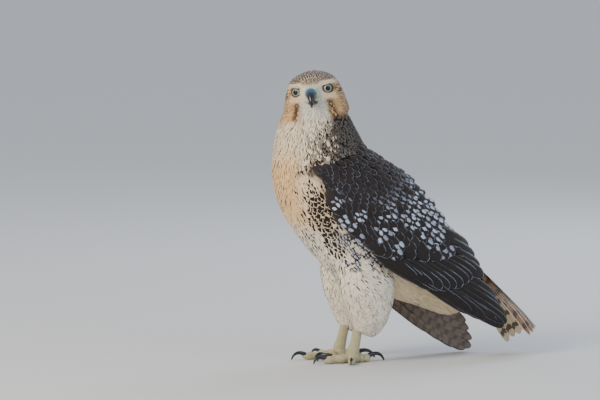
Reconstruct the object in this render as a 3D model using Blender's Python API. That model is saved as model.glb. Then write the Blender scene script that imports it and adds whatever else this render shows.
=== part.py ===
"""A life-size young red-tailed hawk, standing on both feet with its head turned to its left.

Every size is in millimetres, in a drawing frame with x to the bird's left, y to its rear and z up,
from the floor midway between the feet. The last step turns millimetres into metres and centres the
model over its footprint.
"""

import math
import random

import bmesh
import bpy
from mathutils import Matrix, Vector
from mathutils.bvhtree import BVHTree

MM = 0.001
GAP = 0.3  # kept between nodes that touch
ORIGIN = Vector((0.0, 101.2, 0.0))  # the middle of the footprint, in the drawing frame

# The body is a row of rings. Each has its front point (y, z), its back point (y, z) and its half width.
BODY_RINGS = (
    (-103, 392, 1, 399, 50),
    (-110, 374, 10, 380, 54),
    (-115, 352, 20, 362, 60),
    (-119, 322, 32, 341, 68),
    (-119, 290, 52, 320, 74),
    (-111, 257, 78, 298, 76),
    (-98, 228, 104, 273, 75),
    (-79, 200, 128, 245, 71),
    (-56, 172, 148, 215, 66),
    (-30, 145, 165, 190, 59),
    (5, 122, 182, 170, 52),
    (45, 106, 199, 153, 45),
    (85, 94, 216, 137, 38),
    (122, 83, 231, 121, 31),
    (156, 70, 243, 106, 23),
    (178, 64, 249, 96, 9),
)
BODY_STEPS = 28
BODY_SIDES = 24
NECK_END = 6  # ring where the neck meets the torso
TORSO_END = 20  # ring where the torso meets the rump

# The head has its own frame: forward, left and up from its centre.
HEAD_CENTRE = Vector((6.0, -55.0, 427.0))
HEAD_YAW = math.radians(65)
HEAD_ROLL = math.radians(8)
HEAD_SIDES = 30
# Each ring has its height, its reach forward, back and to each side, and how round its front is.
HEAD_RINGS = (
    (-44, 42, 60, 54.5, 2.0),
    (-34, 40, 58, 53, 2.0),
    (-24, 39, 56, 51, 2.0),
    (-14, 38, 54, 48.8, 1.95),
    (-6, 37, 52, 47, 1.8),
    (2, 36, 50, 44.5, 1.65),
    (9, 34.5, 48, 42.3, 1.6),
    (15, 32, 45, 39.5, 1.65),
    (20, 28.5, 42, 36.5, 1.75),
    (25, 23, 37, 31.5, 1.9),
    (29, 15, 31, 24, 2.0),
    (32, 7, 24, 16, 2.0),
    (34.3, -3, 14, 6, 2.0),
)
HEAD_STEPS = 17

EYE_RADIUS = 10.0
EYE_GRID = (10, 16)  # rows and sides of the eyeball, and of its socket
EYE_PLACE = (16.5, 22.5, 5.0)  # forward, to the side, up
EYE_TURN = math.radians(28)  # outward from straight ahead
LID_RING = 7.3
LID_THICK = 1.5

# Bill rings: culmen point (forward, up), lower edge (forward, up), half width.
CERE_RINGS = (
    (30, 12.5, 27, -8, 12.5),
    (36, 12.6, 33, -8.6, 12),
    (41, 11.8, 39, -9, 10.8),
    (46.5, 9.5, 45, -9, 9.2),
)
UPPER_BILL_RINGS = (
    (46.5, 9.5, 45, -9, 8.8),
    (52, 6, 49.5, -8.6, 7.4),
    (57, 1, 53, -9.5, 5.8),
    (61, -6, 56, -12.5, 4.0),
    (62.8, -13, 59.4, -17, 2.3),
    (62.2, -20.4, 61.0, -20.9, 0.7),
)
LOWER_BILL_RINGS = (
    (28, -9.6, 28, -17, 9.5),
    (38, -9.6, 38, -17.5, 8.2),
    (46, -9.6, 46, -16, 6.4),
    (52, -10.2, 51, -14, 3.8),
    (55, -11.3, 54.4, -12.4, 1.0),
)
NOSTRIL_PLACE = (42.5, 10.6, 3.6)
NOSTRIL_RADIUS = 2.0
GAPE_CORNER = (20.0, -9.3)  # forward, up
GAPE_HEIGHT = 0.8

# The folded wing has its own frame: s runs from the wrist to the tip, h square to it in the side view.
WRIST = (-78.0, 292.0)
WING_SLOPE = math.radians(37.9)
WING_DROOP = {"left": 0.0, "right": math.radians(8.0)}
WING_SHIFT = {"left": (0.0, 0.0), "right": (9.0, -5.0)}  # y and z of the far wing's own slip
WING_REST = 3.5  # how far the wing stands out of the body at the least
# Stations along s: half width, height of its widest line, top and bottom height of the arch.
WING_ARCH = (
    (-20, 68, 2, 78, -45),
    (0, 76, -2, 92, -52),
    (60, 86, -6, 112, -62),
    (120, 87, -8, 121, -64),
    (180, 83, -8, 112, -60),
    (240, 75, -4, 98, -50),
    (320, 62, 2, 76, -34),
    (404, 50, 8, 40, -16),
    (430, 47, 9, 30, -12),
)
ARCH_POWER = 2.2
# Stations along s: lower edge and upper edge of the folded wing, in h.
WING_EDGES = (
    (8, 8, 48),
    (20, -2, 66),
    (36, -11, 82),
    (66, -27, 98),
    (116, -34, 110),
    (165, -32, 106),
    (215, -25, 93),
    (265, -14, 80),
    (314, -4, 62),
    (357, 3, 42),
    (390, 7, 28),
    (404, 10, 20),
)

WING_CORE_LIFT = -1.5
WING_CORE_REACH = 372.0
# Feather outlines: share of the length, share of the half width.
FLIGHT_SHAPE = ((0.0, 0.5), (0.4, 1.0), (0.82, 0.96), (0.95, 0.62), (1.0, 0.18))
COVERT_SHAPE = ((0.0, 0.62), (0.5, 1.0), (0.84, 0.78), (1.0, 0.24))
# Tiers of the wing, rear ones first: how many, where their tips lie (s, h) from the lower edge up,
# length, half width, slant in degrees at both ends, lift of root and tip, the share of the length from
# which the vane hangs free, its outline, and whether it is ridged along its shaft.
WING_TIERS = (
    # primaries
    (
        6,
        ((345, -3), (378, 4), (400, 10), (411, 16), (400, 28), (376, 40)),
        (110, 13.0, 6, 8, -1.4, 0.6, 0.5, FLIGHT_SHAPE, 1),
    ),
    # secondaries
    (
        6,
        ((266, -14), (290, 2), (305, 18), (314, 36), (320, 54)),
        (66, 12.0, 5, 10, -1.4, 1.8, 0.9, FLIGHT_SHAPE, 0),
    ),
    # tertials
    (
        3,
        ((326, 56), (312, 65), (292, 72)),
        (76, 12.0, 10, 12, -1.4, 2.4, 0.6, FLIGHT_SHAPE, 1),
    ),
    # greater coverts
    (
        7,
        ((160, -24), (180, -14), (210, 3), (245, 25), (262, 44), (270, 58), (264, 74)),
        (42, 11.0, 4, 14, -1.4, 3.0, 1.1, COVERT_SHAPE, 0),
    ),
    # median coverts
    (
        6,
        ((120, -26), (144, -17), (180, -2), (212, 22), (232, 44), (240, 62), (238, 82)),
        (38, 12.5, 4, 12, -1.4, 2.8, 1.1, COVERT_SHAPE, 0),
    ),
    # lesser coverts, in three rows
    (
        6,
        ((82, -23), (110, -15), (146, -2), (178, 22), (200, 46), (210, 68), (206, 94)),
        (38, 13.0, 2, 10, -1.4, 2.5, 1.1, COVERT_SHAPE, 0),
    ),
    (
        5,
        ((52, -10), (76, -8), (108, 4), (138, 26), (160, 50), (172, 74), (168, 100)),
        (38, 14.0, 0, 8, -1.4, 2.3, 1.1, COVERT_SHAPE, 0),
    ),
    (
        4,
        ((36, 10), (56, 12), (82, 26), (108, 50), (122, 78), (120, 102)),
        (31, 13.0, -4, 6, -1.4, 2.0, 1.1, COVERT_SHAPE, 0),
    ),
)
FEATHER_SEED = 7
FLAT_ENOUGH = math.radians(4)
VANE_THICK = 1.0
VANE_BED = -2.4  # depth of the underside of a vane that lies on the wing, sunk in what bears it
SHAFT_RISE = 0.6
SHINGLE = 0.7  # how much higher a vane's open edge lies than its covered one

# The tail runs back and down from its root at a slope, and is arched across.
TAIL_ROOT = (158.0, 203.0)
TAIL_SLOPE = math.radians(44.3)
TAIL_LENGTH = 228.0
TAIL_HALF_WIDTH = 37.0
TAIL_CORE_LENGTH = 150.0
TAIL_PAIRS = 6
TAIL_VANE_ROOT = 26.0
TAIL_VANE_HALF = 5.6
TAIL_SHAPE = ((0.0, 0.4), (0.5, 0.85), (0.9, 1.0), (0.97, 0.72), (1.0, 0.24))
TAIL_ARCH_ROOT = 12.0
TAIL_ARCH_TIP = 42.0
TAIL_ROLL = math.radians(19)  # its right side hangs lower

# Thigh rings: front (y, z), back (y, z), half width, distance of the middle from the mid plane.
THIGH_RINGS = (
    (-26, 172, 52, 178, 22, 36),
    (-28, 152, 62, 154, 26, 40),
    (-26, 132, 67, 130, 28, 42),
    (-20, 110, 67, 106, 28, 42),
    (-13, 90, 63, 84, 26, 41),
    (-6, 72, 55, 62, 22, 39),
    (0, 58, 44, 46, 16, 37),
    (8, 48, 34, 39, 9, 36),
)
# Tarsus stations: y, z, half width, half depth.
TARSUS_STATIONS = (
    (20, 96, 7.5, 9.0),
    (15, 74, 7.2, 8.4),
    (9.5, 52, 6.8, 7.6),
    (5.5, 32, 7.2, 8.4),
    (2.5, 20, 8.6, 9.8),
    (2, 12, 9.0, 10.0),
)
TARSUS_LEAN = {"left": 0.0, "right": 0.07}  # rearward, for each mm of height
LEG_SPREAD = 31.0
FOOT_MIDDLE = (2.0, 9.0)  # y and z of the palm
PALM_RADIUS = 11.0
# Toes: name, heading from straight ahead towards the outside, length, radius, claw reach.
TOES = {
    "left": (
        ("inner", -32, 38, 6.6, 26),
        ("middle", 4, 52, 6.6, 22),
        ("outer", 66, 40, 5.8, 18),
        ("hind", 190, 32, 7.2, 33),
    ),
    "right": (
        ("inner", -30, 42, 6.6, 26),
        ("middle", 0, 62, 6.6, 25),
        ("outer", 58, 44, 5.8, 18),
        ("hind", 190, 32, 7.2, 33),
    ),
}
TOE_HEIGHT = 5.8
TOE_SIDES = 8

BODY_TREE = {}  # filled once, for clear_of_body

COLOURS = {
    "barred brown feather": ((0.05, 0.035, 0.03), 0.75),
    "cream breast feather": ((0.62, 0.42, 0.25), 0.85),
    "streaked head feather": ((0.30, 0.22, 0.16), 0.85),
    "white leg feather": ((0.68, 0.62, 0.52), 0.9),
    "yellow green scale": ((0.55, 0.55, 0.33), 0.55),
    "black horn": ((0.02, 0.025, 0.035), 0.25),
    "blue grey cere": ((0.30, 0.42, 0.42), 0.4),
    "pale grey eye": ((0.42, 0.45, 0.40), 0.08),
    "brown tail feather": ((0.25, 0.14, 0.08), 0.75),
}

# Face relief: forward, side and up of each bump, its reach, and how far it stands out.
FACE_BUMPS = (
    (22, 24, 15.5, 9, 3.4),  # brow
    (28, 14, 13, 8, 1.6),  # inner brow
    (25, 22.5, 5.5, 9, -3.6),  # eye hollow
    (31, 13, 1, 7, -2.2),  # lore
    (14, 36, -8, 14, 2.0),  # cheek
)
BUMP_SQUASH = 1.3  # bumps are this much lower than they are wide
FACE_POINTS = 0.45  # how far the head's points are drawn from the nape to the face
CROWN_RISE = 0.6
BILL_LOWER_POWER, BILL_UPPER_POWER = 0.8, 0.9
GAPE_REACH, GAPE_OUTER = 70.0, 60.0
GAPE_INNER = 9.0  # the cut only reaches the skin, not the middle of the head
GAPE_LIP = 0.4

# How unlike one another the feathers are.
STRAY = 1.5
UNEVEN = 0.05
VANE_RISE = 0.6  # share of its length over which a vane rises to its full lift

WING_THIN_FROM, WING_THIN_OVER = 120, 100
WING_CORE_EDGE, WING_CORE_BULGE, WING_CORE_REAR = 3.0, 14, 0.5

TAIL_ROOT_HALF, TAIL_TIP_HALF, TAIL_SPREAD_POWER = 16, 40.0, 0.7
TAIL_CORE_THICK, TAIL_CORE_INSET = 2.6, 2.0
TAIL_ROUNDING, TAIL_TIP_SPREAD, TAIL_ROOT_SPREAD = 7, 39.0, 20.0
TAIL_ROOT_LIFT, TAIL_TIP_LIFT, TAIL_FAN_DROP, TAIL_FREE_SHARE = -1.0, 1.4, 0.8, 0.5
TAIL_ROOM = (3.5, 3.4, 4.0, 8)  # room kept above, below, beside and behind the tail

THIGH_SIDES, THIGH_STEPS = 16, 12
TARSUS_SIDES, TARSUS_STEPS = 12, 10
TARSUS_SPLAY = 0.04
TARSUS_FOOT = (8, 12)  # heights from which the tarsus splays and leans
PALM_FACETS, PALM_SHAPE = (6, 12), (1, 1.05, 0.92)
TOE_STEPS, PADS, PAD_SWELL = 7, 2.5, 0.13
TOE_ROOT_SIZE, TOE_TAPER, TOE_END_SIZE = 1.12, 0.28, 0.35
TOE_ROUND_FROM, TOE_RISE, TOE_DIP, TOE_FLATNESS = 0.82, 2.6, 0.3, 0.95
CLAW_SIDES, CLAW_STEPS, CLAW_SETBACK = 7, 7, 5
CLAW_START, CLAW_SWEEP = math.radians(-12), math.radians(108)
CLAW_ARC, CLAW_DROP, CLAW_ARCH = 0.78, 0.62, 0.22
CLAW_HEIGHT, CLAW_FLOOR = 8.6, 1.2
CLAW_THICK, CLAW_TAPER_POWER, CLAW_POINT, CLAW_FLATNESS = 0.58, 0.8, 0.3, 0.8


def clear_scene():
    for old in list(bpy.data.objects):
        bpy.data.objects.remove(old)


def material(name):
    """One Principled material for each finish."""
    found = bpy.data.materials.get(name)
    if found:
        return found
    colour, roughness = COLOURS[name]
    made = bpy.data.materials.new(name)
    made.use_nodes = True
    shader = made.node_tree.nodes["Principled BSDF"]
    shader.inputs["Base Color"].default_value = (*colour, 1.0)
    shader.inputs["Roughness"].default_value = roughness
    shader.inputs["Metallic"].default_value = 0.0
    return made


def smooth_rows(rows, count):
    """Rows read from a smooth curve through the given ones, evenly spaced by row."""
    made = []
    last = len(rows) - 1
    for i in range(count):
        place = i * last / (count - 1)
        k = min(int(place), last - 1)
        made.append(between_rows(rows, k, place - k))
    return made


def between_rows(rows, k, u):
    """The row a share u of the way from row k to the next, on a Catmull-Rom curve."""
    last = len(rows) - 1
    a, b, c, d = (rows[min(max(j, 0), last)] for j in (k - 1, k, k + 1, k + 2))
    return tuple(
        0.5 * (2 * q + (r - p) * u + (2 * p - 5 * q + 4 * r - t) * u * u + (3 * q - p - 3 * r + t) * u**3)
        for p, q, r, t in zip(a, b, c, d)
    )


def at_station(rows, s):
    """The row at s, where each row starts with its own station."""
    last = len(rows) - 1
    k = 0
    while k < last - 1 and rows[k + 1][0] < s:
        k += 1
    u = (s - rows[k][0]) / (rows[k + 1][0] - rows[k][0])
    return between_rows(rows, k, min(max(u, 0.0), 1.0))


def power_of(value, power):
    """A signed power, which gives a superellipse from a sine or a cosine."""
    return math.copysign(abs(value) ** power, value)


def new_object(name, points, faces, finish=None):
    """A mesh object from millimetre points, with its faces turned out."""
    mesh = bpy.data.meshes.new(name)
    mesh.from_pydata([p * MM for p in points], [], faces)
    builder = bmesh.new()
    builder.from_mesh(mesh)
    bmesh.ops.recalc_face_normals(builder, faces=builder.faces)
    bmesh.ops.triangulate(builder, faces=builder.faces)
    builder.to_mesh(mesh)
    builder.free()
    made = bpy.data.objects.new(name, mesh)
    bpy.context.scene.collection.objects.link(made)
    if finish:
        mesh.materials.append(material(finish))
    return made


def loft(name, rings, finish=None):
    """A closed tube through rings of equal count, with flat ends. A ring of one point is a pole."""
    points, faces, starts = [], [], []
    for ring in rings:
        starts.append(len(points))
        points += ring
    for k in range(len(rings) - 1):
        a, b = starts[k], starts[k + 1]
        na, nb = len(rings[k]), len(rings[k + 1])
        for i in range(max(na, nb)):
            j = (i + 1) % max(na, nb)
            if na == 1:
                faces.append((a, b + i, b + j))
            elif nb == 1:
                faces.append((a + i, b, a + j))
            else:
                faces.append((a + i, b + i, b + j, a + j))
    for k in (0, len(rings) - 1):
        if len(rings[k]) > 2:
            faces.append(tuple(range(starts[k], starts[k] + len(rings[k]))))
    return new_object(name, points, faces, finish)


def slab(name, outer, inner, finish=None):
    """A closed plate between two grids of points alike in rows and columns, split alike on both."""
    rows, columns = len(outer), len(outer[0])
    points = [p for row in outer for p in row] + [p for row in inner for p in row]
    below = rows * columns
    faces = []
    for i in range(rows - 1):
        for j in range(columns - 1):
            a = i * columns + j
            b, c, d = a + 1, a + columns + 1, a + columns
            for first, second, third in ((a, b, c), (a, c, d)):
                faces.append((first, second, third))
                faces.append((below + first, below + third, below + second))
    rim = [j for j in range(columns)]
    rim += [i * columns + columns - 1 for i in range(1, rows)]
    rim += [(rows - 1) * columns + j for j in range(columns - 2, -1, -1)]
    rim += [i * columns for i in range(rows - 2, 0, -1)]
    for k, a in enumerate(rim):
        b = rim[(k + 1) % len(rim)]
        faces.append((a, below + a, below + b))
        faces.append((a, below + b, b))
    return new_object(name, points, faces, finish)


def ball(name, centre, radius, rows=10, sides=16, squash=(1, 1, 1), frame=None, finish=None):
    """A closed ball, or an ellipsoid by squash, in an optional frame of three axes."""
    axes = frame or (Vector((1, 0, 0)), Vector((0, 1, 0)), Vector((0, 0, 1)))
    rings = []
    for i in range(rows + 1):
        lift = math.pi * i / rows
        if i in (0, rows):
            rings.append([centre + axes[2] * radius * squash[2] * math.cos(lift)])
            continue
        ring = []
        for j in range(sides):
            turn = 2 * math.pi * j / sides
            ring.append(
                centre
                + axes[0] * radius * squash[0] * math.sin(lift) * math.cos(turn)
                + axes[1] * radius * squash[1] * math.sin(lift) * math.sin(turn)
                + axes[2] * radius * squash[2] * math.cos(lift)
            )
        rings.append(ring)
    return loft(name, rings, finish)


def apply_boolean(target, operation, other=None, group=None, solver="EXACT"):
    """Joins, cuts or trims target, and removes what it was done with."""
    step = target.modifiers.new("step", "BOOLEAN")
    step.operation = operation
    step.solver = solver
    if group:
        step.operand_type = "COLLECTION"
        step.collection = group
    else:
        step.object = other
    bpy.context.view_layer.update()
    graph = bpy.context.evaluated_depsgraph_get()
    made = bpy.data.meshes.new_from_object(target.evaluated_get(graph))
    target.modifiers.clear()
    target.data = made
    for gone in list(group.objects) if group else [other]:
        bpy.data.objects.remove(gone)
    if group:
        bpy.data.collections.remove(group)


def keep_largest(target):
    """Drops every closed surface but the largest."""
    builder = bmesh.new()
    builder.from_mesh(target.data)
    bmesh.ops.triangulate(builder, faces=builder.faces)
    left = set(builder.faces)
    shells = []
    while left:
        stack = [left.pop()]
        shell = set(stack)
        while stack:
            for edge in stack.pop().edges:
                for face in edge.link_faces:
                    if face in left:
                        left.remove(face)
                        shell.add(face)
                        stack.append(face)
        volume = sum(
            f.verts[0].co.dot(f.verts[1].co.cross(f.verts[2].co)) for f in shell
        )
        shells.append((volume, shell))
    shells.sort(key=lambda found: found[0])
    for _, shell in shells[:-1]:
        bmesh.ops.delete(builder, geom=list(shell), context="FACES")
    builder.to_mesh(target.data)
    builder.free()


def lighten(target):
    """Merges the faces of a fused node that lie almost in one plane."""
    builder = bmesh.new()
    builder.from_mesh(target.data)
    bmesh.ops.dissolve_limit(
        builder, angle_limit=FLAT_ENOUGH, verts=builder.verts, edges=builder.edges
    )
    bmesh.ops.triangulate(builder, faces=builder.faces)
    builder.to_mesh(target.data)
    builder.free()


def cut_plane(target, point, normal):
    """Cuts target flat and keeps the side that the normal points to."""
    builder = bmesh.new()
    builder.from_mesh(target.data)
    geometry = builder.verts[:] + builder.edges[:] + builder.faces[:]
    made = bmesh.ops.bisect_plane(
        builder,
        geom=geometry,
        plane_co=point * MM,
        plane_no=normal,
        clear_inner=True,
    )
    edges = [e for e in made["geom_cut"] if isinstance(e, bmesh.types.BMEdge)]
    bmesh.ops.contextual_create(builder, geom=edges)
    bmesh.ops.recalc_face_normals(builder, faces=builder.faces)
    builder.to_mesh(target.data)
    builder.free()


def body_rings(grow=0.0):
    """The rings of the whole body, larger by grow all round."""
    rings = []
    for front_y, front_z, back_y, back_z, half_width in smooth_rows(BODY_RINGS, BODY_STEPS):
        front, back = Vector((0, front_y, front_z)), Vector((0, back_y, back_z))
        middle = (front + back) / 2
        depth = (back - front) / 2
        across = depth.normalized() * (depth.length + grow)
        ring = []
        for i in range(BODY_SIDES):
            turn = 2 * math.pi * i / BODY_SIDES
            side = Vector((half_width + grow, 0, 0)) * math.sin(turn)
            ring.append(middle + side + across * math.cos(turn))
        rings.append(ring)
    return rings


def ring_normal(ring):
    """The direction a ring faces, towards the tail."""
    quarter = len(ring) // 4
    return (ring[0] - ring[2 * quarter]).cross(ring[quarter] - ring[3 * quarter]).normalized()


def shifted(ring, distance):
    normal = ring_normal(ring)
    if normal.z > 0:
        normal = -normal
    return [p + normal * distance for p in ring]


def body_part(name, first, last, finish):
    """The body from one ring to another, short of each by half a gap."""
    rings = body_rings()[first : last + 1]
    rings[0] = shifted(rings[0], GAP / 2)
    rings[-1] = shifted(rings[-1], -GAP / 2)
    return loft(name, rings, finish)


def grown_body(name="grown_body"):
    rings = body_rings(GAP)
    rings[0] = shifted(rings[0], -GAP)
    rings[-1] = shifted(rings[-1], GAP)
    return loft(name, rings)


def head_axes():
    """Forward, left and up of the turned and rolled head."""
    forward = Vector((math.sin(HEAD_YAW), -math.cos(HEAD_YAW), 0))
    level_left = Vector((math.cos(HEAD_YAW), math.sin(HEAD_YAW), 0))
    up = Vector((0, 0, 1))
    left = level_left * math.cos(HEAD_ROLL) + up * math.sin(HEAD_ROLL)
    return forward, left, forward.cross(left)


def head_point(forward, left, up):
    axes = head_axes()
    return HEAD_CENTRE + axes[0] * forward + axes[1] * left + axes[2] * up


def face_relief(forward, left, up):
    """How far the face stands out at a point: brow ridge out, eye hollow and lores in."""
    side = abs(left)

    def bump(at_forward, at_side, at_up, reach):
        far = (
            (forward - at_forward) ** 2 + (side - at_side) ** 2 + ((up - at_up) * BUMP_SQUASH) ** 2
        ) / reach**2
        return math.exp(-far)

    return sum(stand * bump(*place) for *place, stand in FACE_BUMPS)


def head_rings(grow=0.0):
    rings = []
    for up, reach, back, half_width, roundness in smooth_rows(HEAD_RINGS, HEAD_STEPS):
        middle = (reach - back) / 2
        half = (reach + back) / 2
        ring = []
        for i in range(HEAD_SIDES):
            # The share is bent so that more points fall on the face than on the nape.
            share = i / HEAD_SIDES
            turn = 2 * math.pi * share - FACE_POINTS * math.sin(2 * math.pi * share)
            power = 2 / roundness if math.cos(turn) > 0 else 1.0
            forward = middle + half * power_of(math.cos(turn), power)
            left = half_width * power_of(math.sin(turn), power)
            flat = Vector((forward - middle, left))
            outward = flat.normalized() if flat.length > 1e-6 else Vector((1, 0))
            out = face_relief(forward, left, up) + grow
            ring.append(head_point(forward + outward.x * out, left + outward.y * out, up))
        rings.append(ring)
    top = HEAD_RINGS[-1]
    rings.append([head_point((top[1] - top[2]) / 2, 0, top[0] + CROWN_RISE + grow)])
    return rings


def bill_rings(rows, sides, steps, grow=0.0):
    """Rings of a bill part, rounder above than below."""
    rings = []
    for top_f, top_u, low_f, low_u, half_width in smooth_rows(rows, steps):
        middle = Vector(((top_f + low_f) / 2, (top_u + low_u) / 2))
        rise = Vector((top_f - low_f, top_u - low_u)) / 2
        rise = rise.normalized() * (rise.length + grow)
        ring = []
        for i in range(sides):
            turn = 2 * math.pi * i / sides
            height = math.cos(turn)
            width = power_of(math.sin(turn), BILL_LOWER_POWER if height < 0 else 1.0)
            place = middle + rise * power_of(height, BILL_UPPER_POWER)
            ring.append(head_point(place.x, (half_width + grow) * width, place.y))
        rings.append(ring)
    return rings


def eye_middle(side):
    return head_point(EYE_PLACE[0], side * EYE_PLACE[1], EYE_PLACE[2])


def eye_axes(side):
    """Across, up and straight out of the eye."""
    forward, left, up = head_axes()
    out = forward * math.cos(EYE_TURN) + left * side * math.sin(EYE_TURN)
    across = up.cross(out).normalized()
    return across, out.cross(across), out


def lid(side):
    """The ring of bare lid that edges an eye."""
    across, up, out = eye_axes(side)
    along = math.sqrt(EYE_RADIUS**2 - LID_RING**2)
    middle = eye_middle(side) + out * along
    around, across_tube = 14, 5
    points, faces = [], []
    for i in range(around):
        # Turned a little, so that no edge of the lid lies on one of the eye's.
        turn = 2 * math.pi * (i + 0.31) / around
        arm = across * math.cos(turn) + up * math.sin(turn)
        for j in range(across_tube):
            roll = 2 * math.pi * j / across_tube
            radius = LID_RING + LID_THICK * math.cos(roll)
            points.append(middle + arm * radius + out * LID_THICK * math.sin(roll))
            nxt = ((i + 1) % around) * across_tube
            faces.append(
                (
                    i * across_tube + j,
                    nxt + j,
                    nxt + (j + 1) % across_tube,
                    i * across_tube + (j + 1) % across_tube,
                )
            )
    return new_object("lid", points, faces)


def gape_cutter():
    """A thin wedge that opens the line of the mouth in the cheeks."""
    corner, reach, half, inner = GAPE_CORNER[0], GAPE_REACH, GAPE_OUTER, GAPE_INNER
    level, thick = GAPE_CORNER[1], GAPE_HEIGHT
    pieces = bpy.data.collections.new("gape")
    bpy.context.scene.collection.children.link(pieces)
    for side in (1, -1):
        outer = [
            [head_point(corner, side * inner, level), head_point(corner, side * half, level)],
            [
                head_point(reach, side * inner, level + thick),
                head_point(reach, side * half, level + thick),
            ],
        ]
        lower = [
            [
                head_point(corner, side * inner, level - GAPE_LIP),
                head_point(corner, side * half, level - GAPE_LIP),
            ],
            [
                head_point(reach, side * inner, level - thick),
                head_point(reach, side * half, level - thick),
            ],
        ]
        made = slab("gape_cut", outer, lower)
        bpy.context.scene.collection.objects.unlink(made)
        pieces.objects.link(made)
    return pieces


def build_head():
    head = loft("head", head_rings(), "streaked head feather")
    neck_top = body_rings()[0]
    normal = ring_normal(neck_top)
    if normal.z < 0:
        normal = -normal
    cut_plane(head, neck_top[0] + normal * GAP / 2, normal)
    for side in (1, -1):
        apply_boolean(head, "UNION", lid(side))
    for side in (1, -1):
        socket = ball("socket", eye_middle(side), EYE_RADIUS + GAP, *EYE_GRID, frame=eye_axes(side))
        apply_boolean(head, "DIFFERENCE", socket)
        name = "eye_left" if side > 0 else "eye_right"
        ball(
            name,
            eye_middle(side),
            EYE_RADIUS,
            *EYE_GRID,
            frame=eye_axes(side),
            finish="pale grey eye",
        )
    apply_boolean(head, "DIFFERENCE", group=gape_cutter())
    keep_largest(head)
    return head


def grown_head():
    return loft("grown_head", head_rings(GAP))


def build_bill():
    cere_rings = bill_rings(CERE_RINGS, 14, 5)
    upper_rings = bill_rings(UPPER_BILL_RINGS, 14, 9)
    lower_rings = bill_rings(LOWER_BILL_RINGS, 10, 6)
    forward = head_axes()[0]
    upper_rings[0] = [p + forward * GAP for p in bill_rings(UPPER_BILL_RINGS, 14, 9)[0]]
    cere = loft("cere", cere_rings, "blue grey cere")
    loft("bill_upper", upper_rings, "black horn")
    lower = loft("bill_lower", lower_rings, "black horn")
    for part in (cere, lower):
        apply_boolean(part, "DIFFERENCE", grown_head())
        keep_largest(part)
    for side in (1, -1):
        place = head_point(NOSTRIL_PLACE[0], side * NOSTRIL_PLACE[1], NOSTRIL_PLACE[2])
        pit = ball("pit", place, NOSTRIL_RADIUS, 6, 8)
        apply_boolean(cere, "DIFFERENCE", pit)
    keep_largest(cere)


def clear_of_body(place, rest):
    """The place, or the nearest one that stands out of the body by rest."""
    if "tree" not in BODY_TREE:
        rings = body_rings()
        points = [p for ring in rings for p in ring]
        faces = []
        for k in range(len(rings) - 1):
            for i in range(BODY_SIDES):
                j = (i + 1) % BODY_SIDES
                a, b = k * BODY_SIDES, (k + 1) * BODY_SIDES
                faces.append((a + i, b + i, b + j, a + j))
        BODY_TREE["tree"] = BVHTree.FromPolygons(points, faces)
        BODY_TREE["middles"] = [(ring[0] + ring[BODY_SIDES // 2]) / 2 for ring in rings]
    near, normal, face, _ = BODY_TREE["tree"].find_nearest(place)
    if normal.dot(near - BODY_TREE["middles"][face // BODY_SIDES]) < 0:
        normal = -normal
    if (place - near).dot(normal) < rest:
        return near + normal * rest
    return place


def wing_base(s, h, side):
    """A point of the folded wing's outer form: s along it, h across it."""
    where = "left" if side > 0 else "right"
    place = arch_point(s, phi_of(s, h))
    slope = WING_SLOPE + WING_DROOP[where]
    slip_y, slip_z = WING_SHIFT[where]
    y = WRIST[0] + slip_y + place.y * math.cos(slope) + place.z * math.sin(slope)
    z = WRIST[1] + slip_z - place.y * math.sin(slope) + place.z * math.cos(slope)
    place = clear_of_body(Vector((place.x, y, z)), WING_REST)
    return Vector((side * place.x, place.y, place.z))


def wing_point(s, h, lift, side):
    """A point over the wing's outer form by lift, square to it."""
    step = 1.5
    along = wing_base(s + step, h, side) - wing_base(s - step, h, side)
    up = wing_base(s, h + step, side) - wing_base(s, h - step, side)
    normal = up.cross(along).normalized() * side
    return wing_base(s, h, side) - normal * lift


def arch_point(s, phi):
    """(out, s, h) on the arch of the folded wing, before slope and side."""
    _, half, wide, top, low = at_station(WING_ARCH, s)
    power = 2 / ARCH_POWER
    height = (top - wide) if phi > 0 else (wide - low)
    h = wide + height * power_of(math.sin(phi), power)
    return Vector((half * power_of(math.cos(phi), power), s, h))


def phi_of(s, h):
    """The angle round the arch at which the wing has height h."""
    _, _, wide, top, low = at_station(WING_ARCH, s)
    height = (top - wide) if h > wide else (wide - low)
    share = min(max((h - wide) / height, -1.0), 1.0)
    return math.asin(power_of(share, ARCH_POWER / 2))


def wing_core(side, reach, rows=13, columns=7):
    """The body of the folded wing, bedded in the torso's side, thin at its rear and its edges."""
    outer, inner = [], []
    first = WING_EDGES[0][0]
    for i in range(rows):
        s = first + (reach - first) * i / (rows - 1)
        _, low, high = at_station(WING_EDGES, s)
        rear = min(max((s - WING_THIN_FROM) / WING_THIN_OVER, 0), 1)
        over, under = [], []
        for j in range(columns):
            share = j / (columns - 1)
            h = low + (high - low) * share
            edge = math.sin(math.pi * share) ** 0.5
            deep = WING_CORE_EDGE + (WING_CORE_BULGE * (1 - rear) + WING_CORE_REAR * rear) * edge
            over.append(wing_point(s, h, WING_CORE_LIFT, side))
            under.append(wing_point(s, h, WING_CORE_LIFT - deep, side))
        outer.append(over)
        inner.append(under)
    return slab("wing_" + ("left" if side > 0 else "right"), outer, inner, "barred brown feather")


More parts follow.
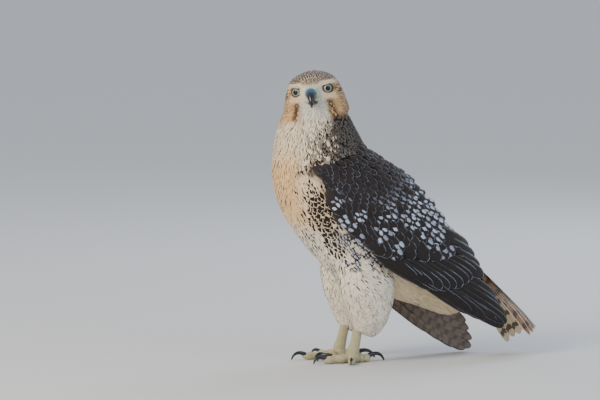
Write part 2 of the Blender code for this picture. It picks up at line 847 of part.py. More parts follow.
def vane(place, root, tip, half_width, shape, root_lift, tip_lift, free, tilt, ridged=1):
    """A closed feather vane laid over a surface, from its sunk root to its rounded tip."""
    along = tip - root
    across = Vector((-along.y, along.x)).normalized() * half_width
    outer, inner = [], []
    for share, wide in shape:
        middle = root + along * share
        lift = root_lift + (tip_lift - root_lift) * min(share / VANE_RISE, 1.0)
        over, under = [], []
        for edge in (-1, 0, 1) if ridged else (-1, 1):
            spot = middle + across * (edge * wide)
            rise = lift - tilt * edge + (0 if edge else SHAFT_RISE)
            over.append(place(spot.x, spot.y, rise))
            floor = rise - VANE_THICK if share > free else VANE_BED
            under.append(place(spot.x, spot.y, min(floor, rise - VANE_THICK)))
        outer.append(over)
        inner.append(under)
    return slab("vane", outer, inner)


def wing_vanes(side):
    """The vanes of every tier of a wing, a little unlike each other."""
    vanes = bpy.data.collections.new("vanes")
    bpy.context.scene.collection.children.link(vanes)
    draw = random.Random(FEATHER_SEED)
    for count, tips, form in WING_TIERS:
        length, half, low, high, root_lift, tip_lift, free, shape, ridged = form
        for i, (s, h) in enumerate(smooth_rows(tips, count)):
            slant = low + (high - low) * i / (count - 1) + draw.uniform(-STRAY, STRAY)
            turn = math.radians(slant)
            reach = length * draw.uniform(1 - UNEVEN, 1 + UNEVEN)
            tip = Vector((s + draw.uniform(-STRAY, STRAY), h))
            root = tip - Vector((math.cos(turn), math.sin(turn))) * reach
            made = vane(
                lambda a, b, lift: wing_point(a, b, lift, side),
                root,
                tip,
                half * draw.uniform(1 - UNEVEN, 1 + UNEVEN),
                shape,
                root_lift,
                tip_lift,
                free,
                SHINGLE,
                ridged,
            )
            bpy.context.scene.collection.objects.unlink(made)
            vanes.objects.link(made)
    return vanes


def build_wing(side):
    wing = wing_core(side, WING_CORE_REACH)
    apply_boolean(wing, "UNION", group=wing_vanes(side))
    keep_largest(wing)
    lighten(wing)
    apply_boolean(wing, "DIFFERENCE", grown_body())
    apply_boolean(wing, "DIFFERENCE", tail_envelope())
    apply_boolean(wing, "DIFFERENCE", loft("grown_thigh", thigh_rings(side, GAP)))
    keep_largest(wing)
    return wing


def tail_point(t, x, lift=0.0):
    """A point of the tail's upper form, t from its root, x from the mid plane, lift out of it."""
    share = min(max(t / TAIL_LENGTH, 0), 1.1)
    arch = TAIL_ARCH_ROOT + (TAIL_ARCH_TIP - TAIL_ARCH_ROOT) * share
    bend = arch / TAIL_HALF_WIDTH**2
    slant = math.atan(2 * bend * x)
    across = x - lift * math.sin(-slant)
    height = lift * math.cos(slant) - bend * x * x
    roll = TAIL_ROLL * share
    x_out = across * math.cos(roll) - height * math.sin(roll)
    height = across * math.sin(roll) + height * math.cos(roll)
    y = TAIL_ROOT[0] + t * math.cos(TAIL_SLOPE) + height * math.sin(TAIL_SLOPE)
    z = TAIL_ROOT[1] - t * math.sin(TAIL_SLOPE) + height * math.cos(TAIL_SLOPE)
    return Vector((x_out, y, z))


def tail_half_width(t):
    share = min(max(t / TAIL_LENGTH, 0), 1)
    return TAIL_ROOT_HALF + (TAIL_TIP_HALF - TAIL_ROOT_HALF) * share**TAIL_SPREAD_POWER


def tail_slab(name, first, last, above, below, wider, finish=None):
    outer, inner = [], []
    rows, columns = 7, 9
    for i in range(rows):
        t = first + (last - first) * i / (rows - 1)
        half = tail_half_width(t) + wider
        outer.append([tail_point(t, half * (2 * j / (columns - 1) - 1), above) for j in range(columns)])
        inner.append([tail_point(t, half * (2 * j / (columns - 1) - 1), below) for j in range(columns)])
    return slab(name, outer, inner, finish)


def tail_envelope():
    above, below, wider, longer = TAIL_ROOM
    return tail_slab("tail_envelope", -GAP, TAIL_LENGTH + longer, above + GAP, -below - GAP, wider)


def build_tail():
    """Twelve vanes on a thin base, the middle pair on top."""
    tail = tail_slab("tail", 0, TAIL_CORE_LENGTH, 0, -TAIL_CORE_THICK, -TAIL_CORE_INSET, "brown tail feather")
    vanes = bpy.data.collections.new("vanes")
    bpy.context.scene.collection.children.link(vanes)
    draw = random.Random(FEATHER_SEED)
    for side in (1, -1):
        for i in range(TAIL_PAIRS):
            share = (i + 0.5) / TAIL_PAIRS
            reach = TAIL_LENGTH - TAIL_ROUNDING * share**3 + draw.uniform(-STRAY, STRAY)
            tip = Vector((reach, side * share * TAIL_TIP_SPREAD))
            root = Vector((TAIL_VANE_ROOT, side * share * TAIL_ROOT_SPREAD))
            made = vane(
                tail_point,
                root,
                tip,
                TAIL_VANE_HALF,
                TAIL_SHAPE,
                TAIL_ROOT_LIFT,
                TAIL_TIP_LIFT - TAIL_FAN_DROP * share,
                TAIL_FREE_SHARE,
                -side * SHINGLE,
                0,
            )
            bpy.context.scene.collection.objects.unlink(made)
            vanes.objects.link(made)
    apply_boolean(tail, "UNION", group=vanes)
    keep_largest(tail)
    lighten(tail)
    return tail


def thigh_rings(side, grow=0.0):
    rings = []
    for front_y, front_z, back_y, back_z, half_width, out in smooth_rows(THIGH_RINGS, THIGH_STEPS):
        front, back = Vector((0, front_y, front_z)), Vector((0, back_y, back_z))
        middle = (front + back) / 2 + Vector((side * out, 0, 0))
        depth = (back - front) / 2
        depth = depth.normalized() * (depth.length + grow)
        ring = []
        for i in range(THIGH_SIDES):
            turn = 2 * math.pi * i / THIGH_SIDES
            ring.append(
                middle
                + Vector((half_width + grow, 0, 0)) * math.sin(turn)
                + depth * math.cos(turn)
            )
        rings.append(ring)
    return rings


def tarsus_rings(side, grow=0.0):
    rings = []
    lean = TARSUS_LEAN["left" if side > 0 else "right"]
    for y, z, half_width, half_depth in smooth_rows(TARSUS_STATIONS, TARSUS_STEPS):
        ring = []
        for i in range(TARSUS_SIDES):
            turn = 2 * math.pi * i / TARSUS_SIDES
            ring.append(
                Vector(
                    (
                        side * (LEG_SPREAD + TARSUS_SPLAY * (z - TARSUS_FOOT[0]))
                        + (half_width + grow) * math.sin(turn),
                        y + lean * (z - TARSUS_FOOT[1]) + (half_depth + grow) * math.cos(turn),
                        z,
                    )
                )
            )
        rings.append(ring)
    return rings


def toe_heading(side, degrees):
    turn = math.radians(degrees)
    return Vector((side * math.sin(turn), -math.cos(turn), 0))


def toe_rings(side, toe, grow=0.0):
    """A toe with its pads: low at the palm, and rounded off at its tip."""
    _, degrees, length, radius, _ = toe
    heading = toe_heading(side, degrees)
    across = Vector((heading.y, -heading.x, 0))
    start = Vector((side * LEG_SPREAD, FOOT_MIDDLE[0], 0))
    rings = []
    for i in range(TOE_STEPS + 1):
        share = i / TOE_STEPS
        swell = 1 + PAD_SWELL * math.cos(2 * math.pi * share * PADS)
        end = math.sqrt(max(1 - max(share - TOE_ROUND_FROM, 0) ** 2 / (1 - TOE_ROUND_FROM) ** 2, 0.0))
        size = radius * (TOE_ROOT_SIZE - TOE_TAPER * share) * swell * max(end, TOE_END_SIZE) + grow
        height = TOE_HEIGHT + (1 - share) * TOE_RISE - TOE_DIP * share
        middle = start + heading * length * share + Vector((0, 0, height))
        rings.append(
            [
                middle
                + across * size * math.sin(2 * math.pi * j / TOE_SIDES)
                + Vector((0, 0, size * TOE_FLATNESS * math.cos(2 * math.pi * j / TOE_SIDES)))
                for j in range(TOE_SIDES)
            ]
        )
    return rings


def claw_rings(side, toe):
    """A claw: a tapering hook that arches from the toe's tip down to the floor."""
    _, degrees, length, radius, reach = toe
    heading = toe_heading(side, degrees)
    across = Vector((heading.y, -heading.x, 0))
    base = Vector((side * LEG_SPREAD, FOOT_MIDDLE[0], 0)) + heading * (length - CLAW_SETBACK)
    arc = reach * CLAW_ARC
    rings = []
    for i in range(CLAW_STEPS + 1):
        share = i / CLAW_STEPS
        turn = CLAW_START + CLAW_SWEEP * share
        out = arc * (math.sin(turn) - math.sin(CLAW_START))
        height = CLAW_HEIGHT + arc * CLAW_DROP * (math.cos(turn) - math.cos(CLAW_START))
        height = height + CLAW_ARCH * arc * math.sin(math.pi * share)
        size = radius * CLAW_THICK * (1 - share) ** CLAW_TAPER_POWER + CLAW_POINT
        middle = base + heading * out + Vector((0, 0, max(height, CLAW_FLOOR)))
        normal = Vector((0, 0, math.cos(turn))) + heading * math.sin(turn)
        rings.append(
            [
                middle
                + across * size * CLAW_FLATNESS * math.sin(2 * math.pi * j / CLAW_SIDES)
                + normal * size * math.cos(2 * math.pi * j / CLAW_SIDES)
                for j in range(CLAW_SIDES)
            ]
        )
    return rings


def foot_piece(name, side, grow, finish=None):
    """Palm and four toes in one closed body."""
    place = Vector((side * LEG_SPREAD, *FOOT_MIDDLE))
    foot = ball(name, place, PALM_RADIUS + grow, *PALM_FACETS, PALM_SHAPE, finish=finish)
    toes = bpy.data.collections.new("toes")
    bpy.context.scene.collection.children.link(toes)
    for toe in TOES["left" if side > 0 else "right"]:
        made = loft("toe", toe_rings(side, toe, grow))
        bpy.context.scene.collection.objects.unlink(made)
        toes.objects.link(made)
    apply_boolean(foot, "UNION", group=toes)
    return foot


def build_leg(side):
    where = "left" if side > 0 else "right"
    thigh = loft("thigh_" + where, thigh_rings(side), "white leg feather")
    apply_boolean(thigh, "DIFFERENCE", grown_body())
    keep_largest(thigh)
    tarsus = loft("tarsus_" + where, tarsus_rings(side), "yellow green scale")
    apply_boolean(tarsus, "DIFFERENCE", loft("grown_thigh", thigh_rings(side, GAP)))
    keep_largest(tarsus)
    foot = foot_piece("foot_" + where, side, 0.0, "yellow green scale")
    apply_boolean(foot, "DIFFERENCE", loft("grown_tarsus", tarsus_rings(side, GAP)))
    keep_largest(foot)
    cut_plane(foot, Vector((0, 0, 0)), Vector((0, 0, 1)))
    for toe in TOES[where]:
        claw = loft(f"claw_{where}_{toe[0]}", claw_rings(side, toe), "black horn")
        apply_boolean(claw, "DIFFERENCE", foot_piece("grown_foot", side, GAP))
        keep_largest(claw)


def finish_objects():
    """Centres every node over the footprint, and shades it smooth."""
    move = Matrix.Translation(-ORIGIN * MM)
    for made in bpy.context.scene.objects:
        made.data.transform(move)
        made.data.shade_smooth()
        made.data.set_sharp_from_angle(angle=math.radians(50))


def main():
    clear_scene()
    body_part("neck", 0, NECK_END, "streaked head feather")
    torso = body_part("torso", NECK_END, TORSO_END, "cream breast feather")
    rump = body_part("rump", TORSO_END, BODY_STEPS - 1, "cream breast feather")
    for part in (torso, rump):
        apply_boolean(part, "DIFFERENCE", tail_envelope())
        keep_largest(part)
    build_head()
    build_bill()
    for side in (1, -1):
        build_leg(side)
        build_wing(side)
    build_tail()
    finish_objects()


main()
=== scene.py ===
import math

import bpy
import numpy as np
from bpy.props import FloatProperty, FloatVectorProperty, PointerProperty
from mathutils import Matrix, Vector
from mathutils.bvhtree import BVHTree


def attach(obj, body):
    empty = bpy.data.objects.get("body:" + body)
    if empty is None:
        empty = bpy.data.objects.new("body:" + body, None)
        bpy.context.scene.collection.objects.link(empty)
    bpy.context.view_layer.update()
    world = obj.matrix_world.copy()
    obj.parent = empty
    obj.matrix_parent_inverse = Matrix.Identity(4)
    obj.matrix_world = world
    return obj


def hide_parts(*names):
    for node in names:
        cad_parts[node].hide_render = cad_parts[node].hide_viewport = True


bl_info = {
    "name": "Young Red-tailed Hawk",
    "version": (1, 0, 0),
    "blender": (4, 5, 0),
    "location": "View3D > Sidebar > Hawk",
    "description": "Dresses the solids of a standing young hawk with skin, feathers, scales and horn",
    "category": "Object",
}

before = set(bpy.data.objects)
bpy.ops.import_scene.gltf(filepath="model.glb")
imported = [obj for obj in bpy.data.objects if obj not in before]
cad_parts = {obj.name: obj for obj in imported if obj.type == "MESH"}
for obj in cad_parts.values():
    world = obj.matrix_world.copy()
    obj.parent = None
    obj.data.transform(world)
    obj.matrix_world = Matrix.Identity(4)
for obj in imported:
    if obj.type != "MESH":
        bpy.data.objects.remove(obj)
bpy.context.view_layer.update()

# Places are in millimetres in the bird's own frame: x to its left, y to its rear, z up from the floor.
ORIGIN = np.array((0.0, 101.2, 0.0))
MM = 0.001

BODY_RINGS = np.array(
    (
        (-103, 392, 1, 399, 50),
        (-110, 374, 10, 380, 54),
        (-115, 352, 20, 362, 60),
        (-119, 322, 32, 341, 68),
        (-119, 290, 52, 320, 74),
        (-111, 257, 78, 298, 76),
        (-98, 228, 104, 273, 75),
        (-79, 200, 128, 245, 71),
        (-56, 172, 148, 215, 66),
        (-30, 145, 165, 190, 59),
        (5, 122, 182, 170, 52),
        (45, 106, 199, 153, 45),
        (85, 94, 216, 137, 38),
        (122, 83, 231, 121, 31),
        (156, 70, 243, 106, 23),
        (178, 64, 249, 96, 9),
    ),
    float,
)

HEAD_CENTRE = np.array((6.0, -55.0, 427.0))
HEAD_YAW = math.radians(65)
HEAD_ROLL = math.radians(8)
EYE_PLACE = (16.5, 22.5, 5.0)
EYE_TURN = math.radians(28)
EYE_RADIUS = 10.0
GAZE_TURN = math.radians(7)
EYE_OPENING = 7.75
# The lid's section: how far beyond the opening, and how far out of the eyeball.
LID_PROFILE = (
    (-0.3, -0.9), (-0.1, 0.2), (0.25, 0.75), (0.8, 0.95), (1.5, 0.7), (2.4, 0.2), (3.4, -0.8), (3.2, -2.4), (0.6, -2.4)
)

WRIST = (-78.0, 292.0)
WING_SLOPE = math.radians(37.9)
WING_DROOP = {1: 0.0, -1: math.radians(8.0)}
WING_SHIFT = {1: (0.0, 0.0), -1: (9.0, -5.0)}
WING_REST = 3.5
WING_ARCH = np.array(
    (
        (-20, 68, 2, 78, -45),
        (0, 76, -2, 92, -52),
        (60, 86, -6, 112, -62),
        (120, 87, -8, 121, -64),
        (180, 83, -8, 112, -60),
        (240, 75, -4, 98, -50),
        (320, 62, 2, 76, -34),
        (404, 50, 8, 40, -16),
        (430, 47, 9, 30, -12),
    ),
    float,
)
ARCH_POWER = 2.2
WING_EDGES = np.array(
    (
        (8, 8, 48),
        (20, -2, 66),
        (36, -11, 82),
        (66, -27, 98),
        (116, -34, 110),
        (165, -32, 106),
        (215, -25, 93),
        (265, -14, 80),
        (314, -4, 62),
        (357, 3, 42),
        (390, 7, 28),
        (404, 10, 20),
    ),
    float,
)

TAIL_ROOT = (158.0, 203.0)
TAIL_SLOPE = math.radians(44.3)
TAIL_LENGTH = 228.0
TAIL_HALF_WIDTH = 37.0
TAIL_ARCH = (12.0, 42.0)
TAIL_ROLL = math.radians(19)

LEG_SPREAD = 31.0
FOOT_MIDDLE = (2.0, 9.0)
TOES = {
    1: (
        ("inner", -32, 38, 6.6, 26),
        ("middle", 4, 52, 6.6, 22),
        ("outer", 66, 40, 5.8, 18),
        ("hind", 190, 32, 7.2, 33),
    ),
    -1: (
        ("inner", -30, 42, 6.6, 26),
        ("middle", 0, 62, 6.6, 25),
        ("outer", 58, 44, 5.8, 18),
        ("hind", 190, 32, 7.2, 33),
    ),
}
TOE_HEIGHT = 5.8
TARSUS_STATIONS = np.array(
    (
        (20, 96, 7.5, 9.0),
        (15, 74, 7.2, 8.4),
        (9.5, 52, 6.8, 7.6),
        (5.5, 32, 7.2, 8.4),
        (2.5, 20, 8.6, 9.8),
        (2, 12, 9.0, 10.0),
    ),
    float,
)
TARSUS_LEAN = {1: 0.0, -1: 0.07}
CERE_RINGS = (
    (30, 12.5, 27, -8, 12.5), (36, 12.6, 33, -8.6, 12), (41, 11.8, 39, -9, 10.8), (46.5, 9.5, 45, -9, 9.2)
)
UPPER_BILL_RINGS = (
    (46.5, 9.5, 45, -9, 8.8),
    (52, 6, 49.5, -8.6, 7.4),
    (57, 1, 53, -9.5, 5.8),
    (61, -6, 56, -12.5, 4.0),
    (62.8, -13, 59.4, -17, 2.3),
    (62.2, -20.4, 61.0, -20.9, 0.7),
)
LOWER_BILL_RINGS = (
    (28, -9.6, 28, -17, 9.5),
    (38, -9.6, 38, -17.5, 8.2),
    (46, -9.6, 46, -16, 6.4),
    (52, -10.2, 51, -14, 3.8),
    (55, -11.3, 54.4, -12.4, 1.0),
)
NOSTRIL_PLACE = (42.5, 10.6, 3.6)
GAPE_RINGS = (
    (52, 5.2, -9.6, 0.5),
    (46, 8.6, -9.4, 1.0),
    (40, 11.6, -9.2, 1.3),
    (34, 14.2, -9.4, 1.3),
    (29, 16.6, -10, 0.9),
    (26, 17.6, -10.6, 0.3),
)

SEED = 11

# Grain of the patterns in millimetres. Clumps, down, horn and pores are coarser than real ones, so that they show.
CLUMP_GRAIN = 2.381  # clumps of barbs, which break up the edges of the marks
WEAR_GRAIN = 18.182  # worn and fresh parts of the coat
DOWN_GRAIN = 2.0
HORN_GRAIN = 3.846
PLATE_SIZE = 1.923  # one horny plate of a toe
DUST_GRAIN = 7.692
PORE_GRAIN = 1.4286

# Toes and claws, as in the solids.
TOE_SWELL, TOE_PADS = 0.13, 2.5
TOE_ROUND_FROM, TOE_ROUND_LENGTH = 0.82, 0.18
TOE_ROOT_SIZE, TOE_TAPER, TOE_END_SIZE = 1.12, 0.28, 0.3
TOE_RISE, TOE_DIP, TOE_FLATNESS = 2.6, 0.3, 0.95
TOE_PLATE, TARSUS_PLATE = 3.6, 4.6  # length of the large plates on toes and tarsi
TARSUS_SPLAY, TARSUS_SPLAY_FROM, TARSUS_LEAN_FROM = 0.04, 8, 12
PALM_RADIUS, PALM_LONG, PALM_FLAT = 11.0, 1.05, 0.92
CLAW_SETBACK, CLAW_START, CLAW_SWEEP = 5, -12, 108
CLAW_ARC, CLAW_HEIGHT, CLAW_DROP, CLAW_ARCH = 0.78, 8.6, 0.62, 0.22
CLAW_THICK, CLAW_TAPER, CLAW_POINT, CLAW_FLOOR, CLAW_FLATNESS = 0.58, 0.8, 0.22, 1.2, 0.8

SKIN_VOXEL = 0.0024
WING_GRID = 3.0

CAMERA_LENS, CAMERA_SENSOR = 305, 36
CAMERA_TURN, CAMERA_LIFT = math.radians(70), math.radians(5)
CAMERA_AIM, CAMERA_FAR = (0, -0.1766, 0.2576), 8


def linear(text):
    """A sRGB hex colour as linear numbers."""
    parts = [int(text[i : i + 2], 16) / 255 for i in (1, 3, 5)]
    return tuple(p / 12.92 if p <= 0.04045 else ((p + 0.055) / 1.055) ** 2.4 for p in parts)


def colour(name, text, about):
    return FloatVectorProperty(
        name=name, description=about, subtype="COLOR", size=3, min=0, max=1, default=linear(text)
    )


def length(name, metres, about):
    return FloatProperty(name=name, description=about, default=metres, min=0, unit="LENGTH", subtype="DISTANCE")


def scale_of(grain_mm):
    """A pattern's scale from the size of its grain in millimetres."""
    return 1 / (grain_mm * MM)


class HawkSizes(bpy.types.PropertyGroup):
    """Sizes of the coat and the eyes."""

    body_depth: length("Body coat", 0.0045, "How deep the feathers lie on the body")
    head_depth: length("Head coat", 0.0022, "How deep the feathers lie on the head")
    leg_depth: length("Leg coat", 0.0032, "How deep the feathers lie on the thighs")
    iris: length("Iris", 0.0138, "Width of the iris")
    pupil: length("Pupil", 0.0078, "Width of the pupil")


class HawkColours(bpy.types.PropertyGroup):
    """Colours of the coat, horn, skin and eyes."""

    buff: colour("Breast buff", "#EBC48C", "Middle of the breast")
    cream: colour("Upper chest", "#F2E2C4", "Upper chest and neck front")
    belly: colour("Belly", "#F0E7D4", "Belly and thighs")
    under: colour("Undertail", "#E2CDA6", "Coverts under the tail")
    mantle: colour("Mantle", "#231C1C", "Back and wings")
    ink: colour("Dark mark", "#26180F", "Streaks and blotches")
    brown: colour("Brown mark", "#6A4326", "Streaks of the cheeks and neck")
    # Spot: pale spots and fringes. The blue in this colour is a painted reflection of bluish skylight.
    spot: colour("Spot", "#C9D6EC", "Blue-white spots and fringes of the back")
    crown: colour("Crown", "#CBBCA8", "Crown between its streaks")
    cheek: colour("Cheek", "#DDB27C", "Cheek and side of the neck")
    throat: colour("Throat", "#E6E1D4", "Chin and throat")
    tail_top: colour("Tail", "#8C6648", "Top of the tail")
    tail_under: colour("Tail underside", "#E0CDA9", "Underside of the tail")
    wing_under: colour("Wing underside", "#8C8078", "Underside of the flight feathers")
    scale: colour("Scale", "#DCD6AC", "Toes and tarsi")
    horn: colour("Horn", "#0E1016", "Bill tip and claws")
    bill_blue: colour("Bill base", "#3F6287", "Base of the bill")
    cere: colour("Cere", "#C8DDB0", "Waxy skin at the base of the bill")
    iris: colour("Iris", "#94A79F", "Iris")


# ---- numbers along curves ----


def ramp(value, low, high):
    """0 below low, 1 above high, smooth between."""
    share = np.clip((value - low) / (high - low), 0, 1)
    return share * share * (3 - 2 * share)


def blend(first, second, share):
    share = np.asarray(share)[..., None]
    return np.asarray(first) * (1 - share) + np.asarray(second) * share


def curve_at(rows, place):
    """Rows read from a smooth curve at places counted in rows."""
    rows = np.asarray(rows, float)
    place = np.asarray(place, float)
    last = len(rows) - 1
    k = np.clip(place.astype(int), 0, last - 1)
    u = np.clip(place - k, 0, 1)[..., None]
    p, q, r, t = (rows[np.clip(k + step, 0, last)] for step in (-1, 0, 1, 2))
    return 0.5 * (2 * q + (r - p) * u + (2 * p - 5 * q + 4 * r - t) * u * u + (3 * q - p - 3 * r + t) * u**3)


def at_station(rows, s):
    """Rows read at s, where each row starts with its own station."""
    s = np.asarray(s, float)
    k = np.clip(np.searchsorted(rows[:, 0], s) - 1, 0, len(rows) - 2)
    u = np.clip((s - rows[k, 0]) / (rows[k + 1, 0] - rows[k, 0]), 0, 1)
    return curve_at(rows, k + u * 0.999999)


def signed_power(value, power):
    return np.sign(value) * np.abs(value) ** power


def unit(vectors):
    return vectors / np.maximum(np.linalg.norm(vectors, axis=-1, keepdims=True), 1e-9)


# ---- meshes ----


def mesh_piece(name, points, faces, finish, floats=None, maps=None, normals=None):
    """A piece from millimetre points, with its faces as lists or one array, that rides on the body."""
    mesh = bpy.data.meshes.new(name)
    mesh.from_pydata(
        ((points - ORIGIN) * MM).tolist(), [], faces if isinstance(faces, list) else faces.tolist()
    )
    for key, (kind, values) in (floats or {}).items():
        layer = mesh.attributes.new(key, kind, "POINT")
        layer.data.foreach_set(
            "color" if kind == "FLOAT_COLOR" else "vector", np.asarray(values, np.float32).ravel()
        )
    for key, values in (maps or {}).items():
        layer = mesh.uv_layers.new(name=key)
        corners = np.empty(len(mesh.loops), np.int32)
        mesh.loops.foreach_get("vertex_index", corners)
        layer.uv.foreach_set("vector", np.asarray(values, np.float32)[corners].ravel())
    mesh.shade_smooth()
    if normals is not None:
        mesh.normals_split_custom_set(normals.tolist())
    mesh.materials.append(finish)
    made = bpy.data.objects.new(name, mesh)
    bpy.context.scene.collection.objects.link(made)
    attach(made, "root")
    return made


def tube(rings, closed=True):
    """Points and faces of a closed tube through rings of equal count."""
    rings = np.asarray(rings, float)
    rows, sides = rings.shape[:2]
    points = rings.reshape(-1, 3)
    faces = []
    for k in range(rows - 1):
        for i in range(sides):
            j = (i + 1) % sides
            faces.append([k * sides + i, k * sides + j, (k + 1) * sides + j, (k + 1) * sides + i])
    if closed:
        faces.append(list(range(sides))[::-1])
        faces.append([(rows - 1) * sides + i for i in range(sides)])
    return points, faces


def vane_blank(rows, columns):
    """Faces of a closed vane whose two sheets share their rim, with each point's row, column and side."""
    top = np.arange(rows * columns).reshape(rows, columns)
    low = top.copy()
    extra = (rows - 2) * (columns - 2)
    low[1:-1, 1:-1] = rows * columns + np.arange(extra).reshape(rows - 2, columns - 2)
    faces = []
    for i in range(rows - 1):
        for j in range(columns - 1):
            faces.append((top[i, j], top[i, j + 1], top[i + 1, j + 1], top[i + 1, j]))
            faces.append((low[i, j], low[i + 1, j], low[i + 1, j + 1], low[i, j + 1]))
    row = np.concatenate([np.repeat(np.arange(rows), columns), np.repeat(np.arange(1, rows - 1), columns - 2)])
    column = np.concatenate([np.tile(np.arange(columns), rows), np.tile(np.arange(1, columns - 1), rows - 2)])
    side = np.where(np.arange(len(row)) < rows * columns, 1.0, -1.0)
    rim = (row == 0) | (row == rows - 1) | (column == 0) | (column == columns - 1)
    side[rim] = 0.0
    return np.array(faces), row, column, side


class Coat:
    """Feathers gathered for one piece, each a closed vane."""

    def __init__(self, rows, columns):
        self.rows, self.columns = rows, columns
        self.faces, self.row, self.column, self.side = vane_blank(rows, columns)
        self.across = np.linspace(-1, 1, columns)
        self.parts = []

    def add(
        self,
        centre,
        across,
        up,
        half,
        share,
        thick,
        camber,
        tint,
        mark,
        reach,
        uv,
        split,
        draw,
        under=None,
        cell=0.003,
    ):
        """centre, across, up: (n, rows, 3). half: (n, rows). share: (rows,). The rest: one for each feather."""
        count = len(centre)
        if not count:
            return
        u = self.across[self.column]
        i = self.row
        wide = half[:, i]
        along = unit(np.gradient(centre, axis=1))
        offset = self.side * (1 - u * u) * thick[:, None] * np.sin(np.pi * (0.15 + 0.8 * share[i]))
        drop = -camber[:, None] * wide * u * u
        # Every other column falls back at the tip and sinks a little, so that the barbs part in clumps.
        valley = self.column % 2 == 1
        pull = np.where(valley[None], draw.uniform(0.4, 1.0, (count, self.columns))[:, self.column], 0.0)
        pull = pull + draw.uniform(-0.25, 0.25, (count, self.columns))[:, self.column]
        grow = np.where(i == self.rows - 1, 1.0, np.where(i == self.rows - 2, 0.35, 0.0))
        groove = np.where(valley, 0.9 * split, 0.0) * np.clip(share[i] * 2, 0, 1)
        raised = (offset + drop - groove)[..., None]
        points = centre[:, i] + across[:, i] * (u * wide)[..., None] + up[:, i] * raised
        points = points - along[:, i] * (pull * grow * split * reach[:, 0:1])[..., None]
        tone = draw.uniform(0, 1, count)
        vane = np.stack(
            [
                np.broadcast_to(u, (count, len(i))),
                np.broadcast_to(share[i], (count, len(i))),
                np.repeat(tone[:, None], len(i), 1),
            ],
            -1,
        )
        size = np.repeat(reach[:, None], len(i), 1)
        shade = np.repeat(tint[:, None], len(i), 1)
        if under is not None:
            shade = np.where((self.side < 0)[None, :, None], under[:, None], shade)
        shade = np.concatenate([shade, np.ones((*shade.shape[:2], 1))], -1)
        spots = np.repeat(mark[:, None], len(i), 1)
        # Loose feathers take the light of the whole coat, with a little roundness of their own.
        lean = unit(up[:, i] + across[:, i] * (0.3 * u)[:, None])
        if np.ndim(cell) == 0:
            cell = np.full((count, 2), cell)
        patch = uv[:, None] + np.stack([u * 0.5 + 0.5, share[i]], -1)[None] * cell[:, None]
        self.parts.append((points, vane, size, shade, spots, patch, lean))

    def corner_normals(self, lean):
        """The coat's normals at the corners of the upper faces, and their opposites below."""
        over = np.where(np.arange(len(self.faces)) % 2 == 0, 1.0, -1.0)
        return (lean[:, self.faces] * over[None, :, None, None]).reshape(-1, 3)

    def piece(self, name, finish, loose=False):
        points, vane, size, shade, spots, patch, lean = (
            np.concatenate([p[k] for p in self.parts]) for k in range(7)
        )
        count, each = points.shape[:2]
        faces = (self.faces[None] + (np.arange(count) * each)[:, None, None]).reshape(-1, 4)
        return mesh_piece(
            name,
            points.reshape(-1, 3),
            faces,
            finish,
            floats={
                "vane": ("FLOAT_VECTOR", vane),
                "reach": ("FLOAT_VECTOR", size),
                "tint": ("FLOAT_COLOR", shade),
                "mark": ("FLOAT_COLOR", spots),
            },
            maps={"OFBake": patch.reshape(-1, 2)},
            normals=self.corner_normals(lean) if loose else None,
        )


# ---- the body's own frame ----

RING_COUNT = 61
_fine = curve_at(BODY_RINGS, np.linspace(0, len(BODY_RINGS) - 1, RING_COUNT))
RING_FRONT, RING_BACK = _fine[:, 0:2], _fine[:, 2:4]


def body_place(points):
    """For each point: how far down the body (0 to 15), how far to the front (1) or the back (-1)."""
    flat = points[:, 1:3]
    line = RING_BACK - RING_FRONT
    rel = flat[:, None] - RING_FRONT[None]
    beyond = line[None, :, 0] * rel[..., 1] < line[None, :, 1] * rel[..., 0]
    near = np.clip(beyond.sum(1), 0, RING_COUNT - 1)
    middle = (RING_FRONT[near] + RING_BACK[near]) / 2
    half = (RING_FRONT[near] - RING_BACK[near]) / 2
    front = ((flat - middle) * half).sum(1) / np.maximum((half * half).sum(1), 1e-6)
    return near * 15 / (RING_COUNT - 1), np.clip(front, -1.3, 1.3)


def head_axes():
    forward = np.array((math.sin(HEAD_YAW), -math.cos(HEAD_YAW), 0))
    level_left = np.array((math.cos(HEAD_YAW), math.sin(HEAD_YAW), 0))
    left = level_left * math.cos(HEAD_ROLL) + np.array((0, 0, 1)) * math.sin(HEAD_ROLL)
    return np.array((forward, left, np.cross(forward, left)))


HEAD_AXES = head_axes()


def head_point(forward, left, up):
    return HEAD_CENTRE + np.array((forward, left, up)) @ HEAD_AXES


def head_place(points):
    return (points - HEAD_CENTRE) @ HEAD_AXES.T


def eye_frame(side):
    """Across, up and straight out of the eye, and its middle."""
    forward, left, up = HEAD_AXES
    out = forward * math.cos(EYE_TURN) + left * side * math.sin(EYE_TURN)
    across = np.cross(up, out)
    across /= np.linalg.norm(across)
    return across, np.cross(out, across), out, head_point(EYE_PLACE[0], side * EYE_PLACE[1], EYE_PLACE[2])


def body_tree():
    """The body's plain form, which the wings are kept clear of."""
    rings = curve_at(BODY_RINGS, np.linspace(0, len(BODY_RINGS) - 1, 28))
    turns = np.linspace(0, 2 * math.pi, 24, endpoint=False)
    front = np.concatenate([np.zeros((28, 1)), rings[:, 0:2]], 1)
    back = np.concatenate([np.zeros((28, 1)), rings[:, 2:4]], 1)
    middle, deep = (front + back) / 2, (back - front) / 2
    points = middle[:, None] + deep[:, None] * np.cos(turns)[None, :, None]
    points[..., 0] += rings[:, 4][:, None] * np.sin(turns)[None]
    faces = tube(points, closed=False)[1]
    return BVHTree.FromPolygons(points.reshape(-1, 3).tolist(), faces), middle


# ---- the coat's colours and markings, for skin and feathers alike ----


